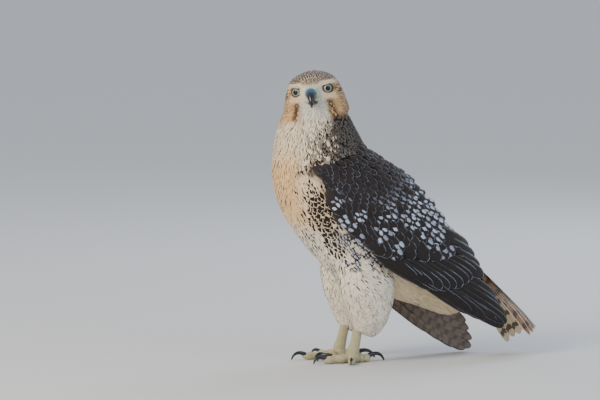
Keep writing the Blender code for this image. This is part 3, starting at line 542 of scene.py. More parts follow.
def coat_marks(points, colours, draw):
    """Tint and marks (streak, fringe, spots, bars) at each point of the coat."""
    c = {key: np.array(getattr(colours, key)) for key in HawkColours.__annotations__}
    count = len(points)
    front = body_place(points)[1]
    x, y, z = np.abs(points[:, 0]), points[:, 1], points[:, 2]
    forward, left, up = head_place(points).T
    side = np.abs(left)
    chance = draw.uniform(0, 1, count)

    # Breast: buff in the middle, cream above, pale on the belly and towards the flanks.
    tint = blend(c["buff"], c["cream"], ramp(z, 300, 350))
    tint = blend(tint, c["belly"], ramp(z, 240, 190))
    tint = blend(tint, c["belly"], 0.6 * ramp(x, 30, 60) * ramp(y, -110, -84))
    streak = np.zeros(count)
    fringe = np.full(count, 0.3)
    spots = np.zeros(count)
    bars = np.zeros(count)

    # A few dark drops where the breast meets the shoulder.
    drops = ramp(y, -110, -98) * ramp(x, 30, 42) * ramp(z, 250, 270) * (chance < 0.3)
    streak = np.maximum(streak, 0.5 * drops)
    # Belly and flanks: drops that grow and crowd towards the wing.
    flank = ramp(y, -98, -72) * ramp(z, 285, 262) * ramp(z, 150, 172)
    side_share = ramp(x, 26, 60)
    streak = np.maximum(streak, flank * (0.38 + 0.55 * side_share) * (chance < 0.5 + 0.4 * side_share))
    # The dark flank over the thigh, with round pale spots.
    blotch = ramp(y, -40, -16) * ramp(z, 138, 156) * ramp(x, 44, 58) * ramp(y, 70, 56)
    dark = blotch * (chance < 0.6)
    tint = blend(tint, c["brown"] * 0.35, dark)
    streak = streak * (1 - blotch)
    spots = np.maximum(spots, 0.95 * dark)
    # Thighs: tiny dots above, thin tawny bars below.
    thigh = ramp(z, 160, 148) * ramp(y, 80, 66)
    dot = (0.22 + 0.08 * ramp(z, 120, 145)) * (chance < 0.35 + 0.2 * ramp(z, 120, 145)) * ramp(z, 78, 92)
    streak = streak * (1 - thigh) + dot * thigh
    bars = np.maximum(bars, 0.32 * ramp(z, 104, 84) * thigh * (chance < 0.6))
    # Under the tail: plain tan.
    vent = ramp(y, 58, 78) * ramp(front, -0.25, 0.05) * ramp(z, 215, 190)
    vent = np.maximum(vent, ramp(y, 95, 115) * ramp(front, -0.5, -0.3))
    tint = blend(tint, c["under"], vent)
    streak, bars, spots = streak * (1 - vent), bars * (1 - vent), spots * (1 - vent)
    # Side of the neck and shoulder: dark feathers with cream edges, streaks on cream where they start.
    inside = y - np.interp(z, SHOULDER_Z, SHOULDER_Y) + 8 * (points[:, 0] < 0)
    shoulder = ramp(inside, 4, 18) * ramp(z, 290, 304)
    border = ramp(inside, -8, 2) * ramp(z, 290, 304) * (1 - shoulder)
    tint = blend(tint, c["ink"] * 1.9, shoulder * (chance < 0.85))
    streak = streak * (1 - shoulder) * (1 - border) + 0.85 * border * (chance < 0.75)
    fringe = np.maximum(fringe, 0.4 * shoulder)
    # Back: black-brown with pale fringes and spots. The spots take the spot colour, which is pale with a painted
    # bluish reflection.
    back = ramp(front, -0.02, -0.28) * ramp(y, 130, 110)
    back = np.maximum(back, ramp(y, -66, -50) * ramp(z, 258, 276) * ramp(x, 40, 52) * ramp(z, 330, 315))
    tint = blend(tint, c["mantle"], back)
    streak = streak * (1 - back)
    fringe = np.maximum(fringe * (1 - back), (0.65 - 0.4 * ramp(z, 315, 345)) * back)
    spots = np.maximum(spots * (1 - back), back * 0.7 * (chance < 0.4) * ramp(z, 345, 320))
    tint = blend(tint, c["tail_top"] * 0.3 + c["mantle"] * 0.5, ramp(y, 95, 150) * ramp(front, -0.35, -0.55))

    # Head and upper neck.
    head = ramp(up, -52, -34)
    face = blend(c["cheek"], c["crown"], ramp(up, 9, 18))
    face = blend(face, c["brown"], 0.8 * ramp(forward, 2, -18) * ramp(up, 24, 8))
    face = blend(face, c["cream"], 0.7 * ramp(forward, 12, 20) * ramp(up, -14, -8) * ramp(up, 2, -2))
    lit = ramp(up, 10, 13) * ramp(up, 20, 17) * ramp(side, 12, 18) * ramp(forward, -4, 4)
    face = blend(face, c["cream"], lit)
    chin = ramp(side, 28, 19) * ramp(up, -8, -13) * ramp(forward, 4, 14)
    lore = ramp(side, 21, 16) * ramp(forward, 20, 27) * ramp(up, 17, 11)
    bare = np.maximum(chin, lore)
    face = blend(face, c["throat"], bare)
    line = side - 26 - (-12 - up) * 0.24
    malar = np.exp(-((line / 6.5) ** 2)) * ramp(up, -9, -15) * ramp(forward, -6, 4)
    behind = ramp(np.abs(up - 1 + (8 - forward) * 0.18), 5.5, 2.5) * ramp(forward, 14, 8) * ramp(side, 22, 27)
    face = blend(face, c["brown"] * 0.55, np.maximum(malar, 0.8 * behind) * (chance < 0.85))
    cheek_streak = 0.50 * (1 - ramp(up, 8, 16)) * ramp(forward, 24, 14) * (chance < 0.75)
    face_streak = 0.80 * ramp(up, 13, 19) + cheek_streak
    face_streak = face_streak * (1 - bare) * (1 - lit)
    face_streak = np.maximum(face_streak, 0.22 * chin * (chance < 0.15))
    nape = ramp(forward, -6, -24)
    face_streak = np.maximum(face_streak, 0.75 * nape)
    tint = blend(tint, face, head)
    streak = streak * (1 - head) + face_streak * head
    fringe = fringe * (1 - head) + 0.45 * head
    spots = spots * (1 - head)
    bars = bars * (1 - head)

    tint = tint * (0.93 + 0.14 * draw.uniform(0, 1, (count, 1)))
    return tint, np.stack([streak, fringe, spots, bars], -1)


# ---- materials ----


def put(tree, kind, *values, out=0, **settings):
    """Adds a node with its settings and links, and gives one of its outputs.

    The inputs are numbers, colours or other nodes' outputs, in order. A dictionary names its own.
    """
    made = tree.nodes.new("ShaderNode" + kind)
    for key, value in settings.items():
        setattr(made, key, value)
    given = {}
    for k, value in enumerate(values):
        given.update(value if isinstance(value, dict) else {k: value})
    for key, value in given.items():
        socket = made.inputs[key]
        if isinstance(value, bpy.types.NodeSocket):
            tree.links.new(value, socket)
        else:
            socket.default_value = (*value, 1.0) if socket.type == "RGBA" else value
    return made.outputs[out]


def new_material(name, **sockets):
    made = bpy.data.materials.new(name)
    made.use_nodes = True
    tree = made.node_tree
    shader = tree.nodes["Principled BSDF"]
    for key, value in sockets.items():
        shader.inputs[key.replace("_", " ")].default_value = value
    return made, tree, shader


def feather_finish(
    name, ink, edge, spot, fringe_mm, barb_mm, roughness,
    bar_count=6.0, bump=0.35, sheen=0.2, shaft_tone=0.2, tones=0.12,
):
    """Keratin vane: matt, with fine barbs slanting off the shaft, and the marks that its feather carries."""
    made, tree, shader = new_material(
        name, Roughness=roughness, Sheen_Weight=sheen, Sheen_Roughness=0.45, Specular_IOR_Level=0.3
    )
    vane = put(tree, "Attribute", out="Vector", attribute_name="vane")
    reach = put(tree, "Attribute", out="Vector", attribute_name="reach")
    tint = put(tree, "Attribute", attribute_name="tint")
    mark = put(tree, "Attribute", attribute_name="mark")
    place = put(tree, "SeparateXYZ", vane)
    size = put(tree, "SeparateXYZ", reach)
    marks = put(tree, "SeparateColor", mark)
    across, along, tone = place.node.outputs
    long, wide, _ = size.node.outputs
    streak, fringe, spots = marks.node.outputs
    bars = mark.node.outputs["Alpha"]
    side = put(tree, "Math", across, operation="ABSOLUTE")
    # Two noises: one breaks up the edges of the marks, one the plain colour.
    position = put(tree, "TexCoord", out="Object")
    rough = put(
        tree, "TexNoise", {"Vector": position, "Scale": scale_of(CLUMP_GRAIN), "Detail": 2.0}, out="Fac"
    )
    broad = put(tree, "TexNoise", {"Vector": position, "Scale": scale_of(WEAR_GRAIN), "Detail": 3.0}, out="Fac")
    wobble = put(tree, "Math", rough, 0.5, operation="SUBTRACT")
    # Barbs: lines that slant off the shaft, at a pitch in millimetres that is coarser than the real one, to show.
    run = put(tree, "Math", along, long, operation="MULTIPLY")
    spread = put(tree, "Math", side, wide, operation="MULTIPLY")
    slant = put(tree, "Math", run, put(tree, "Math", spread, 0.8, operation="MULTIPLY"), operation="SUBTRACT")
    phase = put(
        tree,
        "Math",
        put(tree, "Math", slant, 2 * math.pi / barb_mm, operation="MULTIPLY"),
        put(tree, "Math", wobble, 3.0, operation="MULTIPLY"),
        operation="ADD",
    )
    barb = put(tree, "Math", put(tree, "Math", phase, operation="SINE"), 0.5, 0.5, operation="MULTIPLY_ADD")
    # Base tone of this feather.
    value = put(tree, "Math", tone, tones, 1.0 - tones / 2, operation="MULTIPLY_ADD")
    value = put(
        tree, "Math", value, put(tree, "Math", broad, 0.3, 0.85, operation="MULTIPLY_ADD"), operation="MULTIPLY"
    )
    value = put(
        tree, "Math", value, put(tree, "Math", barb, 0.12, 0.93, operation="MULTIPLY_ADD"), operation="MULTIPLY"
    )
    grey = put(tree, "CombineColor", value, value, value)
    shade = put(tree, "Mix", 1.0, {6: tint, 7: grey}, out=2, data_type="RGBA", blend_type="MULTIPLY")
    # Bars run across the feather.
    sway = put(tree, "Math", wobble, 2.2, operation="MULTIPLY")
    lag = put(tree, "Math", side, -1.1, sway, operation="MULTIPLY_ADD")
    turns = put(tree, "Math", along, 2 * math.pi * bar_count, lag, operation="MULTIPLY_ADD")
    wave = put(tree, "Math", turns, operation="SINE")
    bar = put(
        tree,
        "Math",
        put(tree, "MapRange", wave, 0.25, 0.62, 0.0, 1.0, interpolation_type="SMOOTHSTEP"),
        bars,
        operation="MULTIPLY",
    )
    shade = put(tree, "Mix", bar, {6: shade, 7: ink}, out=2, data_type="RGBA")
    # The streak is widest a third of the way back from the tip and ends in a drop.
    body = put(
        tree,
        "Math",
        put(
            tree,
            "Math",
            put(tree, "MapRange", along, 0.1, 1.02, 0.0, 1.0, interpolation_type="SMOOTHSTEP"),
            math.pi * 0.86,
            operation="MULTIPLY",
        ),
        operation="SINE",
    )
    limit = put(tree, "Math", streak, body, operation="MULTIPLY")
    limit = put(tree, "Math", limit, put(tree, "Math", wobble, 0.22, operation="MULTIPLY"), operation="ADD")
    drop = put(
        tree,
        "MapRange",
        put(tree, "Math", limit, side, operation="SUBTRACT"),
        -0.08,
        0.08,
        0.0,
        1.0,
        interpolation_type="SMOOTHSTEP",
    )
    drop = put(
        tree, "Math", drop, put(tree, "Math", streak, 0.03, operation="GREATER_THAN"), operation="MULTIPLY"
    )
    drop = put(
        tree,
        "Math",
        drop,
        put(tree, "MapRange", along, 0.99, 0.90, 0.0, 1.0, interpolation_type="SMOOTHSTEP"),
        operation="MULTIPLY",
    )
    shade = put(tree, "Mix", drop, {6: shade, 7: ink}, out=2, data_type="RGBA")
    # Pale fringe round the open end, of a width in millimetres. On the wings its colour comes from the spot colour,
    # with that colour's painted bluish reflection.
    tip_mm = put(tree, "Math", put(tree, "Math", 1.0, along, operation="SUBTRACT"), long, operation="MULTIPLY")
    side_mm = put(tree, "Math", put(tree, "Math", 1.0, side, operation="SUBTRACT"), wide, operation="MULTIPLY")
    side_mm = put(
        tree,
        "Math",
        side_mm,
        put(
            tree,
            "Math",
            put(tree, "MapRange", along, 0.75, 0.35, 0.0, 1.0, interpolation_type="SMOOTHSTEP"),
            4.0,
            operation="MULTIPLY",
        ),
        operation="ADD",
    )
    rim = put(
        tree,
        "Math",
        put(tree, "Math", tip_mm, side_mm, operation="MINIMUM"),
        put(tree, "Math", wobble, fringe_mm * 1.1, operation="MULTIPLY"),
        operation="ADD",
    )
    border = put(
        tree,
        "Math",
        put(tree, "MapRange", rim, fringe_mm * 1.3, fringe_mm * 0.7, 0.0, 1.0, interpolation_type="SMOOTHSTEP"),
        fringe,
        operation="MULTIPLY",
    )
    shade = put(tree, "Mix", border, {6: shade, 7: edge}, out=2, data_type="RGBA")
    # A pair of round spots beside the shaft. On the back and wings they take the spot colour, which is pale with a
    # painted bluish reflection.
    shift = put(tree, "Math", tone, 0.16, 0.62, operation="MULTIPLY_ADD")
    near_u = put(tree, "Math", put(tree, "Math", side, 0.62, operation="SUBTRACT"), 0.40, operation="DIVIDE")
    near_v = put(tree, "Math", put(tree, "Math", along, shift, operation="SUBTRACT"), 0.17, operation="DIVIDE")
    far = put(
        tree,
        "Math",
        put(tree, "Math", near_u, near_u, operation="MULTIPLY"),
        put(tree, "Math", near_v, near_v, operation="MULTIPLY"),
        operation="ADD",
    )
    far = put(tree, "Math", far, put(tree, "Math", wobble, 1.4, operation="MULTIPLY"), operation="ADD")
    dot = put(
        tree,
        "Math",
        put(tree, "MapRange", far, 1.1, 0.5, 0.0, 1.0, interpolation_type="SMOOTHSTEP"),
        spots,
        operation="MULTIPLY",
    )
    shade = put(tree, "Mix", dot, {6: shade, 7: spot}, out=2, data_type="RGBA")
    # A darker, slightly raised shaft.
    shaft = put(tree, "MapRange", side, 0.10, 0.03, 0.0, 1.0, interpolation_type="SMOOTHSTEP")
    shade = put(
        tree,
        "Mix",
        put(tree, "Math", shaft, shaft_tone, operation="MULTIPLY"),
        {6: shade, 7: linear("#302922")},
        out=2,
        data_type="RGBA",
    )
    tree.links.new(shade, shader.inputs["Base Color"])
    height = put(
        tree,
        "Math",
        shaft,
        shaft_tone * 4,
        put(tree, "Math", barb, 0.6, operation="MULTIPLY"),
        operation="MULTIPLY_ADD",
    )
    relief = put(tree, "Bump", {"Strength": bump, "Distance": 0.0004, "Height": height})
    tree.links.new(relief, shader.inputs["Normal"])
    return made


def skin_finish(name):
    """Skin and down between the feathers: matt, in the coat's own colours, darker than the feathers."""
    made, tree, shader = new_material(name, Roughness=0.9, Specular_IOR_Level=0.15)
    tint = put(tree, "Attribute", attribute_name="tint")
    position = put(tree, "TexCoord", out="Object")
    down = put(tree, "TexNoise", {"Vector": position, "Scale": scale_of(DOWN_GRAIN), "Detail": 4.0}, out="Fac")
    value = put(tree, "Math", down, 0.4, 0.65, operation="MULTIPLY_ADD")
    grey = put(tree, "CombineColor", value, value, value)
    shade = put(tree, "Mix", 1.0, {6: tint, 7: grey}, out=2, data_type="RGBA", blend_type="MULTIPLY")
    tree.links.new(shade, shader.inputs["Base Color"])
    relief = put(tree, "Bump", {"Strength": 0.6, "Distance": 0.0008, "Height": down})
    tree.links.new(relief, shader.inputs["Normal"])
    return made


def horn_finish(name, dark, pale, pale_from=None):
    """Keratin horn, grown in layers and worn smooth: dark, glossy, with faint lengthwise grain."""
    made, tree, shader = new_material(
        name, Roughness=0.22, Specular_IOR_Level=0.5, Coat_Weight=0.35, Coat_Roughness=0.12
    )
    position = put(tree, "TexCoord", out="Object")
    grain = put(tree, "TexNoise", {"Vector": position, "Scale": scale_of(HORN_GRAIN), "Detail": 5.0}, out="Fac")
    tint = put(
        tree,
        "Mix",
        put(tree, "Math", grain, 0.5, operation="MULTIPLY"),
        {6: dark, 7: pale},
        out=2,
        data_type="RGBA",
    )
    if pale_from:
        place = put(tree, "Attribute", out="Vector", attribute_name="vane")
        along = put(tree, "SeparateXYZ", place, out=1)
        base = put(
            tree,
            "MapRange",
            put(tree, "Math", grain, 0.12, along, operation="MULTIPLY_ADD"),
            *pale_from,
            0.0,
            1.0,
            interpolation_type="SMOOTHSTEP",
        )
        tint = put(tree, "Mix", base, {6: pale, 7: dark}, out=2, data_type="RGBA")
    tree.links.new(tint, shader.inputs["Base Color"])
    relief = put(tree, "Bump", {"Strength": 0.12, "Distance": 0.0003, "Height": grain})
    tree.links.new(relief, shader.inputs["Normal"])
    return made


def scale_finish(name, tint, dark):
    """Dry horny scales on the toes: pale plates with darker creases, a little glossy where they wear."""
    made, tree, shader = new_material(name, Roughness=0.48, Specular_IOR_Level=0.4)
    position = put(tree, "TexCoord", out="Object")
    plates = put(
        tree,
        "TexVoronoi",
        {"Vector": position, "Scale": scale_of(PLATE_SIZE)},
        out="Distance",
        feature="DISTANCE_TO_EDGE",
    )
    crease = put(tree, "MapRange", plates, 0.0, 0.14, 0.0, 1.0, interpolation_type="SMOOTHSTEP")
    worn = put(tree, "TexNoise", {"Vector": position, "Scale": scale_of(DUST_GRAIN), "Detail": 4.0}, out="Fac")
    shade = put(tree, "Mix", worn, {6: tint, 7: tuple(v * 0.72 for v in tint)}, out=2, data_type="RGBA")
    shade = put(
        tree,
        "Mix",
        put(tree, "Math", crease, -0.32, 0.32, operation="MULTIPLY_ADD"),
        {6: shade, 7: dark},
        out=2,
        data_type="RGBA",
    )
    tree.links.new(shade, shader.inputs["Base Color"])
    relief = put(tree, "Bump", {"Strength": 0.8, "Distance": 0.0006, "Height": crease})
    tree.links.new(relief, shader.inputs["Normal"])
    return made


def cere_finish(name, tint, blue):
    """Waxy bare skin: smooth, slightly glossy and translucent, bluer towards the bill."""
    made, tree, shader = new_material(name, Roughness=0.34, Subsurface_Weight=0.1, Subsurface_Scale=0.002)
    place = put(tree, "Attribute", out="Vector", attribute_name="vane")
    along = put(tree, "SeparateXYZ", place, out=1)
    position = put(tree, "TexCoord", out="Object")
    pores = put(tree, "TexNoise", {"Vector": position, "Scale": scale_of(PORE_GRAIN), "Detail": 3.0}, out="Fac")
    shade = put(
        tree,
        "Mix",
        put(
            tree,
            "Math",
            put(tree, "MapRange", along, 0.65, 1.0, 0.0, 1.0, interpolation_type="SMOOTHSTEP"),
            0.6,
            operation="MULTIPLY",
        ),
        {6: tint, 7: blue},
        out=2,
        data_type="RGBA",
    )
    shade = put(
        tree,
        "Mix",
        put(tree, "Math", pores, 0.3, operation="MULTIPLY"),
        {6: shade, 7: tuple(v * 0.6 for v in tint)},
        out=2,
        data_type="RGBA",
    )
    tree.links.new(shade, shader.inputs["Base Color"])
    relief = put(tree, "Bump", {"Strength": 0.25, "Distance": 0.0003, "Height": pores})
    tree.links.new(relief, shader.inputs["Normal"])
    return made


def eye_finish(name, iris, sizes):
    """Wet eye: a pale iris with a dark rim and fine rays, a black pupil, under a clear glossy film."""
    made, tree, shader = new_material(
        name, Roughness=0.35, Coat_Weight=0.8, Coat_Roughness=0.02, Specular_IOR_Level=0.1
    )
    place = put(tree, "Attribute", out="Vector", attribute_name="vane")
    parts = put(tree, "SeparateXYZ", place)
    radius = parts.node.outputs[1]
    rays = put(tree, "TexNoise", {"Vector": place, "Scale": 9.0, "Detail": 4.0}, out="Fac")
    pupil, rim = sizes.pupil / 2 / MM / EYE_RADIUS, sizes.iris / 2 / MM / EYE_RADIUS
    shade = put(
        tree,
        "Mix",
        put(tree, "Math", rays, 0.5, operation="MULTIPLY"),
        {6: iris, 7: tuple(v * 0.45 for v in iris)},
        out=2,
        data_type="RGBA",
    )
    inner = put(tree, "MapRange", radius, pupil + 0.10, pupil, 0.0, 1.0, interpolation_type="SMOOTHSTEP")
    shade = put(
        tree,
        "Mix",
        put(tree, "Math", inner, 0.35, operation="MULTIPLY"),
        {6: shade, 7: linear("#959E86")},
        out=2,
        data_type="RGBA",
    )
    shade = put(
        tree,
        "Mix",
        put(tree, "MapRange", radius, rim - 0.12, rim - 0.02, 0.0, 1.0, interpolation_type="SMOOTHSTEP"),
        {6: shade, 7: linear("#1D1F24")},
        out=2,
        data_type="RGBA",
    )
    shade = put(
        tree,
        "Mix",
        put(tree, "MapRange", radius, pupil + 0.012, pupil - 0.012, 0.0, 1.0, interpolation_type="SMOOTHSTEP"),
        {6: shade, 7: linear("#07070A")},
        out=2,
        data_type="RGBA",
    )
    tree.links.new(shade, shader.inputs["Base Color"])
    return made


# ---- skin ----

SKIN_NODES = ("neck", "torso", "rump", "head", "thigh_left", "thigh_right")
STATE = {}


def coat_depth(points, sizes):
    """How far the skin lies inside the solids at each point, in millimetres."""
    forward, _, up = head_place(points).T
    head = ramp(up, -46, -30)
    z, y = points[:, 2], points[:, 1]
    leg = ramp(z, 128, 108) * ramp(y, 78, 66)
    depth = sizes.body_depth / MM * (1 - leg) + sizes.leg_depth / MM * leg
    face = ramp(forward, 4, 22)
    on_head = sizes.head_depth / MM * (1 - 0.68 * face)
    return depth * (1 - head) + on_head * head


def smoothed(points, edges, steps, share):
    for _ in range(steps):
        total = np.zeros_like(points)
        count = np.zeros(len(points))
        for a, b in ((0, 1), (1, 0)):
            np.add.at(total, edges[:, a], points[edges[:, b]])
            np.add.at(count, edges[:, a], 1)
        points = points + share * (total / count[:, None] - points)
    return points


def make_skin(sizes):
    """One skin over the flesh nodes: joined, remeshed, smoothed and drawn in by the coat's depth."""
    points, faces = [], []
    for name in SKIN_NODES:
        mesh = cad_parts[name].data
        start = sum(len(p) for p in points)
        co = np.empty(len(mesh.vertices) * 3)
        mesh.vertices.foreach_get("co", co)
        points.append(co.reshape(-1, 3))
        faces += [[start + v for v in f.vertices] for f in mesh.polygons]
    raw = bpy.data.meshes.new("skin_source")
    raw.from_pydata(np.concatenate(points).tolist(), [], faces)
    holder = bpy.data.objects.new("skin_source", raw)
    bpy.context.scene.collection.objects.link(holder)
    step = holder.modifiers.new("remesh", "REMESH")
    step.mode = "VOXEL"
    step.voxel_size = SKIN_VOXEL
    bpy.context.view_layer.update()
    graph = bpy.context.evaluated_depsgraph_get()
    mesh = bpy.data.meshes.new_from_object(holder.evaluated_get(graph))
    bpy.data.objects.remove(holder)
    bpy.data.meshes.remove(raw)
    co = np.empty(len(mesh.vertices) * 3)
    mesh.vertices.foreach_get("co", co)
    co = co.reshape(-1, 3) / MM + ORIGIN
    quads = [tuple(f.vertices) for f in mesh.polygons]
    bpy.data.meshes.remove(mesh)
    keep = outer_shell(len(co), quads)
    index = -np.ones(len(co), int)
    index[keep] = np.arange(len(keep))
    co = co[keep]
    quads = [tuple(int(index[v]) for v in f) for f in quads if index[f[0]] >= 0]
    edges = np.array(sorted({tuple(sorted((f[i], f[(i + 1) % len(f)]))) for f in quads for i in range(len(f))}))
    co = smoothed(co, edges, 6, 0.5)
    normals = vertex_normals(co, quads)
    normals = unit(smoothed(normals, edges, 8, 0.5))
    co = co - normals * coat_depth(co, sizes)[:, None]
    co = smoothed(co, edges, 2, 0.4)
    return co, quads


def outer_shell(count, faces):
    """Points of the largest connected surface."""
    parent = list(range(count))

    def root(a):
        while parent[a] != a:
            parent[a] = parent[parent[a]]
            a = parent[a]
        return a

    for face in faces:
        first = root(face[0])
        for v in face[1:]:
            parent[root(v)] = first
    roots = np.array([root(a) for a in range(count)])
    best = np.bincount(roots).argmax()
    return np.nonzero(roots == best)[0]


def vertex_normals(points, faces):
    """Face areas added up at each point."""
    quads = np.array([f if len(f) == 4 else (*f, f[-1]) for f in faces])
    a, b, c, d = (points[quads[:, i]] for i in range(4))
    cross = np.cross(c - a, d - b)
    total = np.zeros_like(points)
    for i in range(4):
        np.add.at(total, quads[:, i], cross)
    return unit(total)


def skin_state():
    if "points" not in STATE:
        raise RuntimeError("make the skin first")
    return STATE


def scatter(points, gap, draw):
    """Numbers of points that keep the gap from one another, taken in random order."""
    grid = {}
    kept = []
    cells = np.floor(points / gap).astype(int)
    limit = gap * gap
    listed = points.tolist()
    for n in draw.permutation(len(points)):
        x, y, z = listed[n]
        i, j, k = cells[n]
        free = True
        for key in ((i + a, j + b, k + c) for a in (-1, 0, 1) for b in (-1, 0, 1) for c in (-1, 0, 1)):
            for other in grid.get(key, ()):
                if (other[0] - x) ** 2 + (other[1] - y) ** 2 + (other[2] - z) ** 2 < limit:
                    free = False
                    break
            if not free:
                break
        if free:
            grid.setdefault((i, j, k), []).append((x, y, z))
            kept.append(n)
    return np.array(kept, int)


def roots_on_skin(chosen, gap, draw):
    """Roots spread over the chosen faces: place, normal, and place on the skin's unwrap."""
    state = skin_state()
    quads, areas = state["quads"], state["areas"]
    weight = np.where(chosen, areas, 0.0)
    total = weight.sum()
    tries = int(total / (gap * gap) * 5) + 1
    face = draw.choice(len(quads), tries, p=weight / total)
    u, v = draw.uniform(0, 1, (2, tries, 1))
    corner = state["points"][quads[face]]
    low = corner[:, 0] * (1 - u) + corner[:, 1] * u
    high = corner[:, 3] * (1 - u) + corner[:, 2] * u
    place = low * (1 - v) + high * v
    kept = scatter(place, gap, draw)
    return place[kept], state["normals"][face[kept]], state["uv"][face[kept]]


def comb(place, along, lengths, lifts, share, tree, stiff=0.6):
    """Rows of feathers that lie along a surface: middles, across and up, each (n, rows, 3)."""
    count, rows = len(place), len(share)
    middle = np.zeros((count, rows, 3))
    up = np.zeros((count, rows, 3))
    heading = np.zeros((count, rows, 3))
    for n in range(count):
        spot = Vector(place[n])
        way = Vector(along[n])
        normal = None
        for i in range(rows):
            if i:
                step = (share[i] - share[i - 1]) * lengths[n]
                spot = spot + way * step
            near, found, _, _ = tree.find_nearest(spot)
            if normal is None or found.dot(normal) > 0.2:
                normal = found if normal is None else (normal * stiff + found * (1 - stiff)).normalized()
                surface = near
                if i and (surface - spot).length > 0.5 * lengths[n] * (share[i] - share[i - 1]):
                    surface = spot.lerp(near, 0.5)
            else:
                surface = spot
            way = (way - normal * way.dot(normal)).normalized()
            middle[n, i] = surface + normal * lifts[n, i]
            up[n, i] = normal
            heading[n, i] = way
            spot = surface
    across = np.cross(heading, up)
    return middle, unit(across), up


# Feather outlines: stations from root to tip, the half width there and the share of the coat's depth.
CONTOUR = np.array(((0.0, 0.3, 0.62, 0.86, 1.0), (0.45, 0.9, 1.0, 0.8, 0.42), (0.0, 0.52, 0.88, 1.0, 0.84)))
TUFT = np.array(((0.0, 0.4, 0.78, 1.0), (0.6, 1.0, 0.78, 0.3), (0.0, 0.62, 1.0, 0.8)))


def tangent(vectors, normals):
    return unit(vectors - normals * (vectors * normals).sum(1, keepdims=True))


def turned(vectors, normals, angle):
    """Vectors turned about their normals by an angle each."""
    side = np.cross(normals, vectors)
    return vectors * np.cos(angle)[:, None] + side * np.sin(angle)[:, None]


def body_flow(place, normal):
    """The way feathers lie: down the body, out over the flanks and back along the rump."""
    down = body_place(place)[0]
    k = np.clip((down * (RING_COUNT - 1) / 15).astype(int), 1, RING_COUNT - 2)
    middle = (RING_FRONT + RING_BACK) / 2
    step = middle[k + 1] - middle[k - 1]
    flow = np.concatenate([np.zeros((len(place), 1)), step], 1)
    flow = unit(flow)
    leg = ramp(place[:, 2], 132, 112) * ramp(place[:, 1], 80, 66)
    flow = blend_rows(flow, np.array((0.0, 0.12, -1.0)), leg)
    return tangent(flow, normal)


def blend_rows(first, second, share):
    return first * (1 - share[:, None]) + second * share[:, None]


def head_flow(place, normal):
    forward, _, up = head_place(place).T
    rays = place - head_point(46, 0, 2)
    down = np.array((0.0, 0.15, -1.0))
    flow = unit(rays) + down * (0.35 + 0.9 * ramp(up, 0, -34) + 0.6 * ramp(forward, 0, -30))[:, None]
    return tangent(flow, normal)


PIECE_TRIANGLES = 190000


def dress(
    name, finish, colours, draw, roots, flow, lengths, halves, lift, shape, columns, thick, split, spin
):
    """Combs feathers over the skin from their roots, in pieces from the tail up, none of them too heavy."""
    place, normal, uv = roots
    shares, widths, rise = shape
    count = len(place)
    flow = turned(flow, normal, draw.normal(0, spin, count))
    lifts = -0.5 + (lift[:, None] + 0.5) * rise[None] * draw.uniform(0.94, 1.06, (count, 1))
    middle, across, up = comb(place, flow, lengths, lifts, shares, skin_state()["tree"])
    tint, mark = coat_marks(middle[:, -2], colours, draw)
    half = halves[:, None] * widths[None]
    reach = np.stack([lengths, halves, draw.uniform(0, 1, count)], -1)
    each = 2 * len(Coat(len(shares), columns).faces)
    pieces = math.ceil(count * each / PIECE_TRIANGLES)
    order = np.argsort(place[:, 2])
    for k, chosen in enumerate(np.array_split(order, pieces)):
        coat = Coat(len(shares), columns)
        coat.add(
            middle[chosen], across[chosen], up[chosen], half[chosen], shares, np.full(len(chosen), thick),
            np.full(len(chosen), 0.12), tint[chosen], mark[chosen], reach[chosen], uv[chosen], split, draw,
        )
        made = coat.piece(f"{name}_{k + 1}", finish, loose=True)


# Where the dark side of the neck and shoulder starts: heights and the places to the rear of which it lies.
SHOULDER_Z = (296, 313, 322, 348, 373, 395)
SHOULDER_Y = (-98, -94, -87, -77, -54, -32)


def coat_zones(draw):
    """Which faces of the skin carry body, leg, head and face feathers, with their borders blurred."""
    middles = skin_state()["middles"]
    forward, _, up = head_place(middles).T
    blur = draw.normal(0, 1, len(middles))
    head = up + blur * 3 >= -40
    legs = (middles[:, 2] + blur * 4 < 128) & (middles[:, 1] < 74)
    near_eye = np.zeros(len(middles), bool)
    bare = np.zeros(len(middles), bool)
    for way in (1, -1):
        _, _, out, middle = eye_frame(way)
        far = np.linalg.norm(middles - (middle + out * 6.0), axis=1)
        near_eye |= far + blur < 16
        bare |= far < 8.0
    face = head & ((forward + blur > 24) | near_eye) & (up + blur < 22) & (up > -26) & ~bare
    return ~head & ~legs, legs, head & ~bare, face


